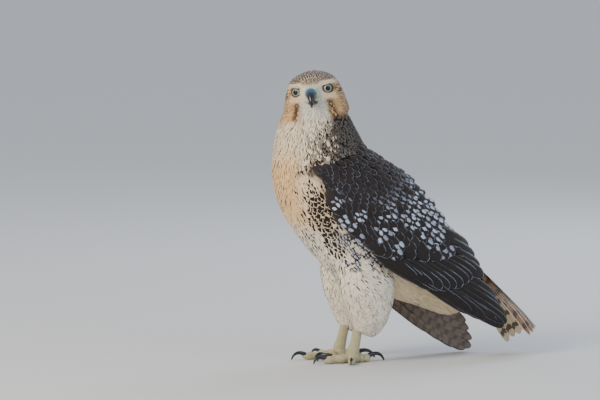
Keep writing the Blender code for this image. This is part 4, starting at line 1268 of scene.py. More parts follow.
def brow_feathers(finish, colours, draw):
    """Short feathers that lean out over the top of each eye as a ridge."""
    coat = Coat(4, 5)
    shares, widths, _ = TUFT
    for side in (1, -1):
        across, up, out, middle = eye_frame(side)
        outer = across * side
        for row in range(5):
            count = 26
            t = (np.arange(count) + 0.5 * (row % 2)) / (count - 1) + draw.uniform(-0.01, 0.01, count)
            a = -9.5 + 20.5 * t
            b = 6.9 + 1.9 * np.sin(np.pi * np.clip(0.12 + 0.75 * t, 0, 1)) + 0.9 * t + 0.75 * row
            deep = 8.2 - 0.9 * row - 2.4 * np.clip(t - 0.55, 0, 1) - 0.8 * (1 - t)
            root = middle + outer * a[:, None] + up * b[:, None] + out * (deep - 1.6)[:, None]
            way = unit(outer * (0.25 + 0.75 * t)[:, None] + out * 0.9 - up * 0.30 * np.ones((count, 1)))
            long = draw.uniform(4.6, 5.8, count) * (1 - 0.2 * np.abs(2 * t - 1))
            rows = root[:, None] + way[:, None] * (shares[None] * long[:, None])[..., None]
            rows = rows + up * (-0.35 * shares[None] ** 2 * long[:, None] * 0.3)[..., None]
            normal = np.repeat(unit(up + out * 0.35 * np.ones((count, 1)))[:, None], 4, 1)
            heading = unit(np.gradient(rows, axis=1))
            flat = unit(np.cross(heading, normal))
            half = np.full((count, 1), 1.1) * widths[None]
            tint, mark = coat_marks(rows[:, 1], colours, draw)
            tint = tint * 0.25 + np.array(colours.cream) * 0.7
            mark = mark * 0.2
            reach = np.stack([long, np.full(count, 1.1), draw.uniform(0, 1, count)], -1)
            near = [skin_state()["tree"].find_nearest(p)[2] for p in root.tolist()]
            coat.add(
                rows, flat, np.cross(flat, heading), half, shares, np.full(count, 0.2), np.full(count, 0.1),
                tint, mark, reach, skin_state()["uv"][near], 0.1, draw,
            )
    made = coat.piece("brow_feathers", finish)


# ---- wings ----


class Wing:
    """The folded wing's outer form as a grid over s (wrist to tip) and h (lower to upper edge)."""

    def __init__(self, side):
        self.side = side
        self.s = np.arange(-30, 433, WING_GRID)
        self.h = np.arange(-60, 130, WING_GRID)
        s, h = np.meshgrid(self.s, self.h, indexing="ij")
        _, half, wide, top, low = np.moveaxis(at_station(WING_ARCH, s), -1, 0)
        height = np.where(h > wide, top - wide, wide - low)
        share = np.clip((h - wide) / height, -1, 1)
        phi = np.arcsin(signed_power(share, ARCH_POWER / 2))
        power = 2 / ARCH_POWER
        out = half * signed_power(np.cos(phi), power)
        rise = wide + np.where(phi > 0, top - wide, wide - low) * signed_power(np.sin(phi), power)
        slope = WING_SLOPE + WING_DROOP[side]
        slip_y, slip_z = WING_SHIFT[side]
        y = WRIST[0] + slip_y + s * math.cos(slope) + rise * math.sin(slope)
        z = WRIST[1] + slip_z - s * math.sin(slope) + rise * math.cos(slope)
        points = np.stack([out, y, z], -1)
        tree, middles = body_tree()
        flat = points.reshape(-1, 3)
        for n, place in enumerate(flat.tolist()):
            near, normal, face, _ = tree.find_nearest(place)
            if normal.dot(near - Vector(middles[face // 24])) < 0:
                normal = -normal
            if (Vector(place) - near).dot(normal) < WING_REST:
                flat[n] = near + normal * WING_REST
        points = flat.reshape(points.shape)
        points[..., 0] *= side
        ds = np.gradient(points, axis=0)
        dh = np.gradient(points, axis=1)
        normal = np.cross(ds, dh) * side
        for _ in range(2):
            beside = normal[:-2, 1:-1] + normal[2:, 1:-1] + normal[1:-1, :-2] + normal[1:-1, 2:]
            normal[1:-1, 1:-1] = beside + 2 * normal[1:-1, 1:-1]
        self.points, self.normals = points, unit(normal)
        if (self.normals[60, 30][0] * side) < 0:
            self.normals = -self.normals

    def at(self, s, h, lift):
        """Places over the form, and the form's normals there."""
        i = np.clip((np.asarray(s) - self.s[0]) / WING_GRID, 0, len(self.s) - 1.001)
        j = np.clip((np.asarray(h) - self.h[0]) / WING_GRID, 0, len(self.h) - 1.001)
        i0, j0 = i.astype(int), j.astype(int)
        a, b = (i - i0)[..., None], (j - j0)[..., None]

        def read(grid):
            low = grid[i0, j0] * (1 - b) + grid[i0, j0 + 1] * b
            high = grid[i0 + 1, j0] * (1 - b) + grid[i0 + 1, j0 + 1] * b
            return low * (1 - a) + high * a

        normal = unit(read(self.normals))
        return read(self.points) + normal * np.asarray(lift)[..., None], normal


FLIGHT = (
    np.array((0.0, 0.08, 0.2, 0.36, 0.52, 0.68, 0.8, 0.89, 0.95, 0.985, 1.0)),
    np.array((0.35, 0.6, 0.85, 1.0, 1.0, 0.98, 0.93, 0.84, 0.66, 0.42, 0.14)),
)
COVERT = (np.array((0.0, 0.22, 0.45, 0.66, 0.82, 0.93, 1.0)), np.array((0.5, 0.85, 1.0, 0.98, 0.84, 0.58, 0.2)))


def sheet_feathers(
    coat, surface, tips, lengths, slants, halves, shape, lifts, tilt, tint, mark, thick, camber, draw, cells,
    under=None, split=0.0,
):
    """Feathers laid over a sheet with its own two numbers, each from its tip back to its root."""
    shares, widths = shape
    count = len(tips)
    way = np.stack([np.cos(slants), np.sin(slants)], -1)
    root = tips - way * lengths[:, None]
    spots = root[:, None] + way[:, None] * (shares[None] * lengths[:, None])[..., None]
    rise = lifts[:, 0:1] + (lifts[:, 1:2] - lifts[:, 0:1]) * np.clip(shares / 0.6, 0, 1)[None]
    middle, normal = surface(spots[..., 0], spots[..., 1], rise)
    side_way = np.stack([-way[:, 1], way[:, 0]], -1)
    half = halves[:, None] * widths[None]
    edge = spots + side_way[:, None] * 1.0
    beside, _ = surface(edge[..., 0], edge[..., 1], rise)
    across = unit(beside - middle)
    # Tilted, so that each feather's open edge lies over the next one's covered edge.
    across = unit(across + normal * tilt)
    up = unit(normal - across * (normal * across).sum(-1, keepdims=True))
    reach = np.stack([lengths, halves, draw.uniform(0, 1, count)], -1)
    coat.add(
        middle,
        across,
        up,
        half,
        shares,
        thick,
        camber,
        tint,
        mark,
        reach,
        cells[0],
        split,
        draw,
        under,
        cells[1],
    )


class Cells:
    """Places on the bake map, one for each large feather, in a square grid."""

    def __init__(self, per_row):
        self.per_row = per_row
        self.used = 0

    def take(self, count):
        number = np.arange(self.used, self.used + count)
        self.used += count
        size = 1.0 / self.per_row
        corner = np.stack([number % self.per_row, number // self.per_row], -1) * size + size * 0.08
        return corner, np.full((count, 2), size * 0.84)


WING_CURVES = np.array(
    (
        ((0, 16), (4, 20), (16, 34), (34, 54), (44, 74), (48, 92), (50, 96)),
        ((36, 10), (46, 6), (74, 14), (104, 34), (122, 58), (130, 84), (124, 104)),
        ((52, -10), (76, -8), (108, 4), (138, 26), (160, 50), (172, 74), (168, 100)),
        ((82, -23), (110, -15), (146, -2), (178, 22), (200, 46), (210, 68), (206, 94)),
        ((120, -26), (144, -17), (180, -2), (212, 22), (232, 44), (240, 62), (238, 82)),
        ((160, -24), (180, -14), (210, 3), (245, 25), (262, 44), (270, 58), (264, 74)),
    ),
    float,
)


def covert_curve(t):
    """The line that a row of covert tips follows, t from the front row (0) to the rearmost (5)."""
    return curve_at(WING_CURVES.reshape(len(WING_CURVES), -1), t).reshape(-1, 2)


def covert_rows():
    """Places of the rows, each as far behind the last as its feathers show."""
    places, t = [], 0.0
    while t <= 5:
        places.append(t)
        apart = np.linalg.norm(covert_curve(t + 0.05) - covert_curve(t), axis=1).mean() / 0.05
        t += (7.5 + 10.5 * (t / 5) ** 0.9) / max(apart, 20.0)
    return places


def wing_core_piece(wing):
    """The closed flesh of the folded wing, which carries the feathers."""
    rows, columns = 36, 20
    s = np.linspace(10, 262, rows)
    edges = at_station(WING_EDGES, s)
    share = np.linspace(0, 1, columns)
    h = edges[:, 1:2] + 3.5 + (edges[:, 2:3] - edges[:, 1:2] - 7) * share[None]
    s = np.repeat(s[:, None], columns, 1)
    rear = np.clip((s - 100) / 90, 0, 1)
    edge = np.sin(np.pi * share[None]) ** 0.5
    deep = 1.0 + (13 * (1 - rear) + 1.2 * rear) * edge
    top, _ = wing.at(s, h, np.full(s.shape, -2.2))
    low, _ = wing.at(s, h, -2.2 - deep)
    return slab_points(top, low)


def slab_points(top, low):
    """Points and faces of a closed plate between two grids."""
    rows, columns = top.shape[:2]
    count = rows * columns
    grid = np.arange(count).reshape(rows, columns)
    a, b, c, d = grid[:-1, :-1], grid[:-1, 1:], grid[1:, 1:], grid[1:, :-1]
    quads = np.stack([a, b, c, d], -1).reshape(-1, 4)
    faces = quads.tolist() + (quads[:, ::-1] + count).tolist()
    rim = list(grid[0]) + list(grid[1:, -1]) + list(grid[-1, -2::-1]) + list(grid[-2:0:-1, 0])
    for k, first in enumerate(rim):
        second = rim[(k + 1) % len(rim)]
        faces.append([int(second), int(first), int(first) + count, int(second) + count])
    return np.concatenate([top.reshape(-1, 3), low.reshape(-1, 3)]), faces


def tail_at(t, x, lift):
    """Places over the tail's upper form, t from its root and x from its middle, and the normals there."""
    t, x, lift = np.broadcast_arrays(np.asarray(t, float), np.asarray(x, float), np.asarray(lift, float))
    share = np.clip(t / TAIL_LENGTH, 0, 1.1)
    arch = TAIL_ARCH[0] + (TAIL_ARCH[1] - TAIL_ARCH[0]) * share
    bend = arch / TAIL_HALF_WIDTH**2
    slant = np.arctan(2 * bend * x)
    roll = TAIL_ROLL * share

    def place(rise):
        across = x + rise * np.sin(slant)
        height = rise * np.cos(slant) - bend * x * x
        x_out = across * np.cos(roll) - height * np.sin(roll)
        height = across * np.sin(roll) + height * np.cos(roll)
        y = TAIL_ROOT[0] + t * math.cos(TAIL_SLOPE) + height * math.sin(TAIL_SLOPE)
        z = TAIL_ROOT[1] - t * math.sin(TAIL_SLOPE) + height * math.cos(TAIL_SLOPE)
        return np.stack([x_out, y, z], -1)

    low, high = place(lift), place(lift + 1.0)
    return low, unit(high - low)


# ---- operators ----


def sizes_of(context):
    return context.scene.hawk_sizes


def colours_of(context):
    return context.scene.hawk_colours


class HAWK_OT_skin(bpy.types.Operator):
    """Makes the one skin under the coat"""

    bl_idname = "hawk.skin"
    bl_label = "Skin"

    def execute(self, context):
        sizes, colours = sizes_of(context), colours_of(context)
        points, quads = make_skin(sizes)
        draw = np.random.default_rng(SEED)
        tint, _ = coat_marks(points, colours, draw)
        shade = np.concatenate([tint, np.ones((len(tint), 1))], 1)
        finish = skin_finish("hawk_skin_down")
        made = mesh_piece(
            "skin", points, [list(q) for q in quads], finish, floats={"tint": ("FLOAT_COLOR", shade)}
        )
        context.view_layer.objects.active = made
        made.select_set(True)
        bpy.ops.object.mode_set(mode="EDIT")
        bpy.ops.mesh.select_all(action="SELECT")
        bpy.ops.uv.smart_project(angle_limit=math.radians(66), island_margin=0.004)
        bpy.ops.object.mode_set(mode="OBJECT")
        made.data.uv_layers[0].name = "OFBake"
        mesh = made.data
        corner_uv = np.empty(len(mesh.loops) * 2, np.float32)
        mesh.uv_layers[0].uv.foreach_get("vector", corner_uv)
        corner_uv = corner_uv.reshape(-1, 2)
        full = np.array([q if len(q) == 4 else (*q, q[-1]) for q in quads])
        spans = [corner_uv[f.loop_start : f.loop_start + f.loop_total] for f in mesh.polygons]
        STATE["uv"] = np.array([span.mean(0) for span in spans]) * 0.99
        corner = points[full]
        cross = np.cross(corner[:, 2] - corner[:, 0], corner[:, 3] - corner[:, 1])
        STATE.update(points=points, quads=full, areas=np.linalg.norm(cross, axis=1) / 2, normals=unit(cross))
        STATE["middles"] = corner.mean(1)
        STATE["tree"] = BVHTree.FromPolygons(points.tolist(), [list(q) for q in quads])
        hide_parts(*SKIN_NODES)
        return {"FINISHED"}


class HAWK_OT_body_coat(bpy.types.Operator):
    """Lays the contour feathers of breast, belly, back and rump"""

    bl_idname = "hawk.body_coat"
    bl_label = "Body Coat"

    def execute(self, context):
        sizes, colours = sizes_of(context), colours_of(context)
        draw = np.random.default_rng(SEED + 1)
        body = coat_zones(draw)[0]
        middles = skin_state()["middles"]
        blur = draw.normal(0, 4, len(body))
        front = body_place(middles)[1]
        edge = np.interp(middles[:, 2], SHOULDER_Z, SHOULDER_Y)
        soft = (middles[:, 2] + blur > 222) & (middles[:, 1] + blur < edge) & (front > 0)
        neck = middles[:, 2] + blur > 338
        vent = (middles[:, 1] + blur > 62) & (front > -0.3) & (middles[:, 2] < 210)
        # The spots of the back take the spot colour: pale, with a painted bluish reflection of skylight.
        finish = feather_finish(
            "soft_contour_feather",
            ink=tuple(colours.ink),
            edge=tuple(colours.belly),
            spot=tuple(colours.spot),
            fringe_mm=0.8,
            barb_mm=1.3,
            roughness=0.8,
            shaft_tone=0.04,
        )
        depth = sizes.body_depth / MM
        for name, chosen, gap, long, half, shape, columns, split in (
            ("neck_feathers", body & neck, 2.5, 12.5, 1.7, TUFT, 5, 0.14),
            ("breast_feathers", body & soft & ~neck, 2.8, 16.0, 2.0, TUFT, 5, 0.16),
            ("vent_feathers", body & vent & ~soft, 3.9, 25.0, 3.4, CONTOUR, 7, 0.2),
            ("flank_feathers", body & ~(soft | neck | vent), 4.4, 18.0, 4.2, CONTOUR, 7, 0.12),
        ):
            roots = roots_on_skin(chosen, gap, draw)
            place = roots[0]
            count = len(place)
            longer = 1 + 0.35 * ramp(place[:, 1], 100, 160)
            lengths = long * longer * draw.uniform(0.82, 1.22, count)
            halves = half * draw.uniform(0.85, 1.15, count)
            dress(
                name, finish, colours, draw, roots, body_flow(place, roots[1]),
                lengths, halves, np.full(count, depth), shape, columns, 0.25, split, 0.13,
            )
        return {"FINISHED"}


class HAWK_OT_head_coat(bpy.types.Operator):
    """Lays the short feathers of the head, smallest round the eyes and the bill"""

    bl_idname = "hawk.head_coat"
    bl_label = "Head Coat"

    def execute(self, context):
        sizes, colours = sizes_of(context), colours_of(context)
        draw = np.random.default_rng(SEED + 2)
        head, face = coat_zones(draw)[2:]
        finish = feather_finish(
            "short_head_feather",
            ink=tuple(colours.ink),
            edge=tuple(colours.crown),
            spot=tuple(colours.belly),
            fringe_mm=0.35,
            barb_mm=1.0,
            roughness=0.8,
            shaft_tone=0.08,
        )
        for name, chosen, gap, long, half, lift in (
            ("face_feathers", face, 1.45, 4.4, 0.95, 0.9),
            ("head_feathers", head & ~face, 2.3, 9.5, 1.6, sizes.head_depth / MM),
        ):
            roots = roots_on_skin(chosen, gap, draw)
            place = roots[0]
            grow = 1 + 0.3 * ramp(head_place(place)[:, 2], -14, -40)
            lengths = long * grow * draw.uniform(0.8, 1.2, len(place))
            halves = half * grow * draw.uniform(0.85, 1.15, len(place))
            dress(
                name, finish, colours, draw, roots, head_flow(place, roots[1]),
                lengths, halves, np.full(len(place), lift), TUFT, 5, 0.2, 0.10, 0.16,
            )
        brow_feathers(finish, colours, draw)
        return {"FINISHED"}


class HAWK_OT_leg_coat(bpy.types.Operator):
    """Lays the loose feathers of the thighs"""

    bl_idname = "hawk.leg_coat"
    bl_label = "Leg Coat"

    def execute(self, context):
        sizes, colours = sizes_of(context), colours_of(context)
        draw = np.random.default_rng(SEED + 3)
        legs = coat_zones(draw)[1]
        finish = feather_finish(
            "loose_leg_feather",
            ink=tuple(np.array(colours.brown) * 0.8),
            edge=tuple(colours.belly),
            spot=tuple(colours.belly),
            fringe_mm=0.9,
            barb_mm=1.2,
            roughness=0.85,
            bar_count=2.0,
            shaft_tone=0.06,
        )
        roots = roots_on_skin(legs, 3.3, draw)
        place = roots[0]
        low = ramp(place[:, 2], 72, 50)
        lengths = (15 - 5 * low) * draw.uniform(0.8, 1.2, len(place))
        halves = (2.7 - 0.9 * low) * draw.uniform(0.85, 1.15, len(place))
        lift = np.full(len(place), sizes.leg_depth / MM)
        dress(
            "leg_feathers", finish, colours, draw, roots, body_flow(place, roots[1]),
            lengths, halves, lift, CONTOUR, 7, 0.25, 0.13, 0.16,
        )
        return {"FINISHED"}


class HAWK_OT_wings(bpy.types.Operator):
    """Folds both wings: flesh, flight feathers and rows of coverts"""

    bl_idname = "hawk.wings"
    bl_label = "Wings"

    def execute(self, context):
        colours = colours_of(context)
        mantle = np.array(colours.mantle)
        under_tint = np.array(colours.wing_under)
        # Fringes and spots of the flight feathers and coverts take the spot colour: pale, with a painted bluish
        # reflection of skylight.
        flight_finish = feather_finish(
            "stiff_flight_feather", ink=tuple(mantle * 0.35), edge=tuple(
                np.array(colours.spot) * 0.7
            ), spot=tuple(colours.spot),
            fringe_mm=1.1, barb_mm=1.4, roughness=0.55, bar_count=9.0, bump=0.4, sheen=0.1, tones=0.3,
        )
        covert_finish = feather_finish(
            "firm_covert_feather", ink=tuple(mantle * 0.3), edge=tuple(
                np.array(colours.spot) * 0.75
            ), spot=tuple(colours.spot),
            fringe_mm=1.3, barb_mm=1.2, roughness=0.6, bump=0.4, sheen=0.12, tones=0.3,
        )
        flesh = skin_finish("wing_down")
        for side, where in ((1, "left"), (-1, "right")):
            wing = Wing(side)
            draw = np.random.default_rng(SEED + 5 + side)
            points, faces = wing_core_piece(wing)
            if side < 0:
                faces = [f[::-1] for f in faces]
            shade = np.tile(np.array((*mantle, 1.0)), (len(points), 1))
            shade[len(points) // 2 :, :3] = under_tint
            core = mesh_piece(
                "wing_flesh_" + where, points, faces, flesh, floats={"tint": ("FLOAT_COLOR", shade)}
            )
            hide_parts("wing_" + where)

            flight = Coat(11, 7)
            coverts = Coat(7, 7)
            cells_f, cells_c = Cells(8), Cells(24)
            tiers = (
                # count, tip curve, length, half width, slants, lifts, tint share, marks
                (
                    9,
                    ((322, -7), (350, -4), (378, 4), (400, 10), (411, 16), (404, 26), (388, 34), (372, 42)),
                    150,
                    11.5,
                    (5, 9),
                    (-0.6, 1.2),
                    (0, 0.35, 0, 0.35),
                ),
                (
                    11,
                    ((232, -21), (258, -15), (280, -4), (296, 10), (308, 26), (315, 40), (320, 54)),
                    92,
                    12.0,
                    (4, 11),
                    (-0.4, 2.4),
                    (0, 0.75, 0, 0.25),
                ),
                (
                    4,
                    ((330, 54), (318, 62), (302, 69), (284, 76)),
                    96,
                    13.0,
                    (9, 13),
                    (0.2, 3.4),
                    (0, 0.8, 0.0, 0.2),
                ),
            )
            for count, curve, long, half, slants, lifts, marks in tiers:
                tips = curve_at(curve, np.linspace(0, len(curve) - 1, count))
                tips = tips + draw.uniform(-1.2, 1.2, tips.shape)
                slant = np.radians(np.linspace(*slants, count) + draw.uniform(-1.2, 1.2, count))
                order = np.linspace(0, 0.8, count)
                heights = np.stack([np.full(count, lifts[0]), lifts[1] + order], -1)
                tint = mantle[None] * draw.uniform(0.6, 0.95, (count, 1))
                lengths = long * draw.uniform(0.96, 1.04, count)
                halves = half * draw.uniform(0.96, 1.04, count)
                sheet_feathers(
                    flight, wing.at, tips, lengths, slant, halves, FLIGHT,
                    heights, 0.07, tint, np.tile(
                        np.array(marks), (count, 1)
                    ), np.full(count, 0.35), np.full(count, 0.03), draw,
                    cells_f.take(count), np.tile(under_tint, (count, 1)),
                )
            # Coverts: rows that grow from the wrist back, larger towards the rear.
            for k, t in enumerate(covert_rows()):
                r = t / 5
                curve = covert_curve(t)
                half = 4.4 + 6.2 * r**0.8
                arc = np.linalg.norm(np.diff(curve, axis=0), axis=1).sum()
                count = int(arc / (half * 1.5))
                place = (np.arange(count) + 0.25 + 0.5 * (k % 2)) / count
                tips = curve_at(curve, place * (len(curve) - 1)) + draw.uniform(-1.3, 1.3, (count, 2))
                slant = np.radians(-4 + 16 * place + draw.uniform(-5, 5, count))
                long = half * 3.6
                upper = ramp(tips[:, 1], 20, 55)
                heights = np.stack([np.full(count, -0.5), np.full(count, 2.6 + 0.8 * r)], -1)
                tint = mantle[None] * draw.uniform(0.75, 1.25, (count, 1))
                marks = np.zeros((count, 4))
                marks[:, 1] = draw.uniform(0.1, 0.45 + 0.5 * r, count)
                spotted = draw.uniform(0, 1, count) < 0.42 + 0.4 * upper
                marks[:, 2] = np.where(spotted, draw.uniform(0.45, 1.0, count), 0.0) * ramp(r, 0.12, 0.4)
                lengths = long * draw.uniform(0.92, 1.08, count)
                halves = half * draw.uniform(0.92, 1.08, count)
                sheet_feathers(
                    coverts, wing.at, tips, lengths, slant, halves, COVERT, heights, 0.08, tint, marks, np.full(count, 0.4),
                    np.full(count, 0.10), draw, cells_c.take(count), np.tile(under_tint, (count, 1)), 0.03,
                )
            made = flight.piece("flight_feathers_" + where, flight_finish)
            made = coverts.piece("wing_coverts_" + where, covert_finish)
        return {"FINISHED"}


class HAWK_OT_tail(bpy.types.Operator):
    """Lays twelve tail feathers, the middle pair on top"""

    bl_idname = "hawk.tail"
    bl_label = "Tail"

    def execute(self, context):
        colours = colours_of(context)
        draw = np.random.default_rng(SEED + 9)
        finish = feather_finish(
            "barred_tail_feather", ink=tuple(
                np.array(colours.ink) * 1.2
            ), edge=tuple(colours.belly), spot=tuple(colours.belly),
            fringe_mm=2.2, barb_mm=1.4, roughness=0.58, bar_count=9.0, bump=0.4, sheen=0.1,
        )
        coat = Coat(11, 7)
        cells = Cells(5)
        top = np.array(colours.tail_top)
        below = np.array(colours.tail_under)
        for side in (1, -1):
            for i in range(6):
                share = (i + 0.5) / 6
                tip = np.array([[TAIL_LENGTH - 9 * share**3 + draw.uniform(-1.5, 1.5), side * share * 36.0]])
                root = np.array([[8.0, side * share * 9.0]])
                way = tip - root
                long = np.linalg.norm(way, axis=1)
                slant = np.arctan2(way[:, 1], way[:, 0])
                lifts = np.array([[-0.4, 1.5 - 2.6 * share]])
                tint = top[None] * draw.uniform(0.9, 1.1)
                mark = np.array([[0, 0.85, 0, 0.85]])
                sheet_feathers(
                    coat, tail_at, tip, long, slant, np.array([10.5]), FLIGHT, lifts, -side * 0.07, tint,
                    mark, np.array([0.4]), np.array([0.02]), draw, cells.take(1), below[None],
                )
        made = coat.piece("tail_feathers", finish)
        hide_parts("tail")
        return {"FINISHED"}


class HAWK_OT_eyes(bpy.types.Operator):
    """Makes the eyes and their lids"""

    bl_idname = "hawk.eyes"
    bl_label = "Eyes"

    def execute(self, context):
        sizes, colours = sizes_of(context), colours_of(context)
        eye = eye_finish("wet_eye", tuple(colours.iris), sizes)
        skin = cere_finish(
            "lid_skin", tuple(np.array(colours.brown) * 0.35), tuple(np.array(colours.brown) * 0.25)
        )
        for side, where in ((1, "left"), (-1, "right")):
            across, up, out, middle = eye_frame(side)
            rows, sides = 40, 48
            lift = np.linspace(0, math.pi, rows)[1:-1]
            turn = np.linspace(0, 2 * math.pi, sides, endpoint=False)
            radius = EYE_RADIUS - 0.1
            # The clear front of the eye bulges a little over the iris.
            bulge = 1 + 0.05 * np.exp(-((np.sin(lift) / 0.55) ** 4)) * (np.cos(lift) > 0)
            gaze = math.cos(GAZE_TURN) * out - math.sin(GAZE_TURN) * side * across
            level = math.cos(GAZE_TURN) * across + math.sin(GAZE_TURN) * side * out
            arms = np.cos(turn)[:, None] * level + np.sin(turn)[:, None] * up
            ring = np.sin(lift)[:, None, None] * arms[None]
            ahead = (np.cos(lift) * bulge)[:, None, None] * gaze
            points = middle + radius * (ring * bulge[:, None, None] + ahead)
            points, faces = tube(points)
            front = np.repeat(np.cos(lift) > 0, sides)
            flat = np.repeat(np.where(np.cos(lift) > 0, np.sin(lift), 1.0), sides)
            vane = np.stack([np.tile(turn, rows - 2) / (2 * math.pi), flat, front * 0.0], -1)
            made = mesh_piece("eye_ball_" + where, points, faces, eye, floats={"vane": ("FLOAT_VECTOR", vane)})
            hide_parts("eye_" + where)
            # Lids: a rolled edge round the opening, drawn down by the brow above.
            turns = np.linspace(0, 2 * math.pi, 64, endpoint=False)
            sin, cos = np.sin(turns), np.cos(turns)
            opening = EYE_OPENING - 0.9 * ramp(
                sin, 0.35, 1.0
            ) - 0.25 * ramp(-sin, 0.4, 1.0) + 0.35 * np.abs(cos) ** 3
            rings = []
            for wide, rise in LID_PROFILE:
                r = opening + wide
                height = np.sqrt(np.maximum(EYE_RADIUS**2 - np.minimum(r, 9.6) ** 2, 0)) + rise
                arm = cos[:, None] * across + sin[:, None] * up
                rings.append(middle + arm * r[:, None] + height[:, None] * out)
            points, faces = tube(rings, closed=False)
            count = len(turns)
            last = (len(LID_PROFILE) - 1) * count
            for i in range(count):
                j = (i + 1) % count
                faces.append([last + i, last + j, j, i])
            vane = np.zeros((len(points), 3))
            made = mesh_piece("lid_" + where, points, faces, skin, floats={"vane": ("FLOAT_VECTOR", vane)})
        return {"FINISHED"}


def bill_tube(rows, sides, steps, pinch=0.8):
    """Rings of a bill part, rounder above than below."""
    made = curve_at(rows, np.linspace(0, len(rows) - 1, steps))
    turn = np.linspace(0, 2 * math.pi, sides, endpoint=False)
    rings = []
    for top_f, top_u, low_f, low_u, half in made:
        middle = np.array(((top_f + low_f) / 2, (top_u + low_u) / 2))
        rise = np.array((top_f - low_f, top_u - low_u)) / 2
        height = signed_power(np.cos(turn), 0.9)
        width = half * signed_power(np.sin(turn), 1.0)
        width = np.where(np.cos(turn) < 0, half * signed_power(np.sin(turn), pinch), width)
        place = middle[None] + rise[None] * height[:, None]
        local = np.stack([place[:, 0], width, place[:, 1]], -1)
        rings.append(HEAD_CENTRE + local @ HEAD_AXES)
    return np.array(rings)


class HAWK_OT_bill(bpy.types.Operator):
    """Makes the cere and the hooked bill"""

    bl_idname = "hawk.bill"
    bl_label = "Bill"

    def execute(self, context):
        colours = colours_of(context)
        horn = horn_finish("bill_horn", tuple(colours.horn), tuple(colours.bill_blue), (0.05, 0.55))
        wax = cere_finish("cere_wax", tuple(colours.cere), tuple(np.array(colours.bill_blue) * 1.2))
        for name, rows, steps, finish, slot in (
            ("cere_skin", CERE_RINGS, 22, wax, "cere"),
            ("upper_bill", UPPER_BILL_RINGS, 34, horn, "horn"),
            ("lower_bill", LOWER_BILL_RINGS, 24, horn, "horn"),
        ):
            rings = bill_tube(rows, 36, steps)
            if name == "cere_skin":
                local = head_place(rings.reshape(-1, 3))
                for side in (1, -1):
                    place = np.array((NOSTRIL_PLACE[0], side * NOSTRIL_PLACE[1], NOSTRIL_PLACE[2]))
                    far = np.linalg.norm((local - place) / np.array((2.4, 3.0, 1.7)), axis=1)
                    local[:, 1] -= side * 3.2 * np.exp(-(far**4)) * (np.sign(local[:, 1]) == side)
                rings = (HEAD_CENTRE + local @ HEAD_AXES).reshape(rings.shape)
            points, faces = tube(rings)
            along = np.repeat(np.linspace(0, 1, steps), 36)
            vane = np.stack([along * 0, along, along * 0], -1)
            made = mesh_piece(name, points, faces, finish, floats={"vane": ("FLOAT_VECTOR", vane)})
            node = {"cere_skin": "cere", "upper_bill": "bill_upper", "lower_bill": "bill_lower"}[name]
            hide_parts(node)
        for side, where in ((1, "left"), (-1, "right")):
            turn = np.linspace(0, 2 * math.pi, 14, endpoint=False)
            rings = []
            for forward, wide, up, size in curve_at(GAPE_RINGS, np.linspace(0, len(GAPE_RINGS) - 1, 22)):
                local = np.stack(
                    [np.full(14, forward), side * wide + 0.8 * size * np.sin(turn), up + size * np.cos(turn)],
                    -1,
                )
                rings.append(HEAD_CENTRE + local @ HEAD_AXES)
            points, faces = tube(rings)
            vane = np.zeros((len(points), 3))
            made = mesh_piece("gape_" + where, points, faces, wax, floats={"vane": ("FLOAT_VECTOR", vane)})
        return {"FINISHED"}


def heading_of(side, degrees):
    turn = math.radians(degrees)
    return np.array((side * math.sin(turn), -math.cos(turn), 0))


def toe_tube(side, toe, sides=28, steps=56):
    """A toe with its pads below and its row of plates above."""
    _, degrees, long, radius, _ = toe
    heading = heading_of(side, degrees)
    across = np.array((heading[1], -heading[0], 0))
    start = np.array((side * LEG_SPREAD, FOOT_MIDDLE[0], 0))
    turn = np.linspace(0, 2 * math.pi, sides, endpoint=False)
    rings = []
    for i in range(steps + 1):
        share = i / steps
        swell = 1 + TOE_SWELL * math.cos(2 * math.pi * share * TOE_PADS)
        end = math.sqrt(max(1 - max(share - TOE_ROUND_FROM, 0) ** 2 / TOE_ROUND_LENGTH**2, 0.0))
        size = radius * (TOE_ROOT_SIZE - TOE_TAPER * share) * swell * max(end, TOE_END_SIZE)
        height = TOE_HEIGHT + (1 - share) * TOE_RISE - TOE_DIP * share
        middle = start + heading * long * share + np.array((0, 0, height))
        saw = (share * long / TOE_PLATE) % 1.0
        scute = 0.45 * (saw**0.5 - 0.5) * ramp(np.cos(turn), 0.0, 0.5)
        grow = size + scute
        points = middle + np.outer(np.sin(turn) * grow, across)
        points[:, 2] += TOE_FLATNESS * np.cos(turn) * grow
        points[:, 2] = np.maximum(points[:, 2], 0.0)
        rings.append(points)
    return np.array(rings)


def claw_tube(side, toe, sides=16, steps=24):
    _, degrees, long, radius, reach = toe
    heading = heading_of(side, degrees)
    across = np.array((heading[1], -heading[0], 0))
    base = np.array((side * LEG_SPREAD, FOOT_MIDDLE[0], 0)) + heading * (long - CLAW_SETBACK)
    turn = np.linspace(0, 2 * math.pi, sides, endpoint=False)
    first = math.radians(CLAW_START)
    rings = []
    for i in range(steps + 1):
        share = i / steps
        bend = math.radians(CLAW_START + CLAW_SWEEP * share)
        arc = reach * CLAW_ARC
        out = arc * (math.sin(bend) - math.sin(first))
        fall = arc * CLAW_DROP * (math.cos(bend) - math.cos(first))
        arch = CLAW_ARCH * arc * math.sin(math.pi * share)
        height = CLAW_HEIGHT + fall + arch
        size = radius * CLAW_THICK * (1 - share) ** CLAW_TAPER + CLAW_POINT
        middle = base + heading * out + np.array((0, 0, max(height, CLAW_FLOOR)))
        normal = np.array((0, 0, math.cos(bend))) + heading * math.sin(bend)
        sideways = np.outer(np.sin(turn) * size * CLAW_FLATNESS, across)
        points = middle + sideways + np.outer(np.cos(turn) * size, normal)
        points[:, 2] = np.maximum(points[:, 2], 0.0)
        rings.append(points)
    return np.array(rings)


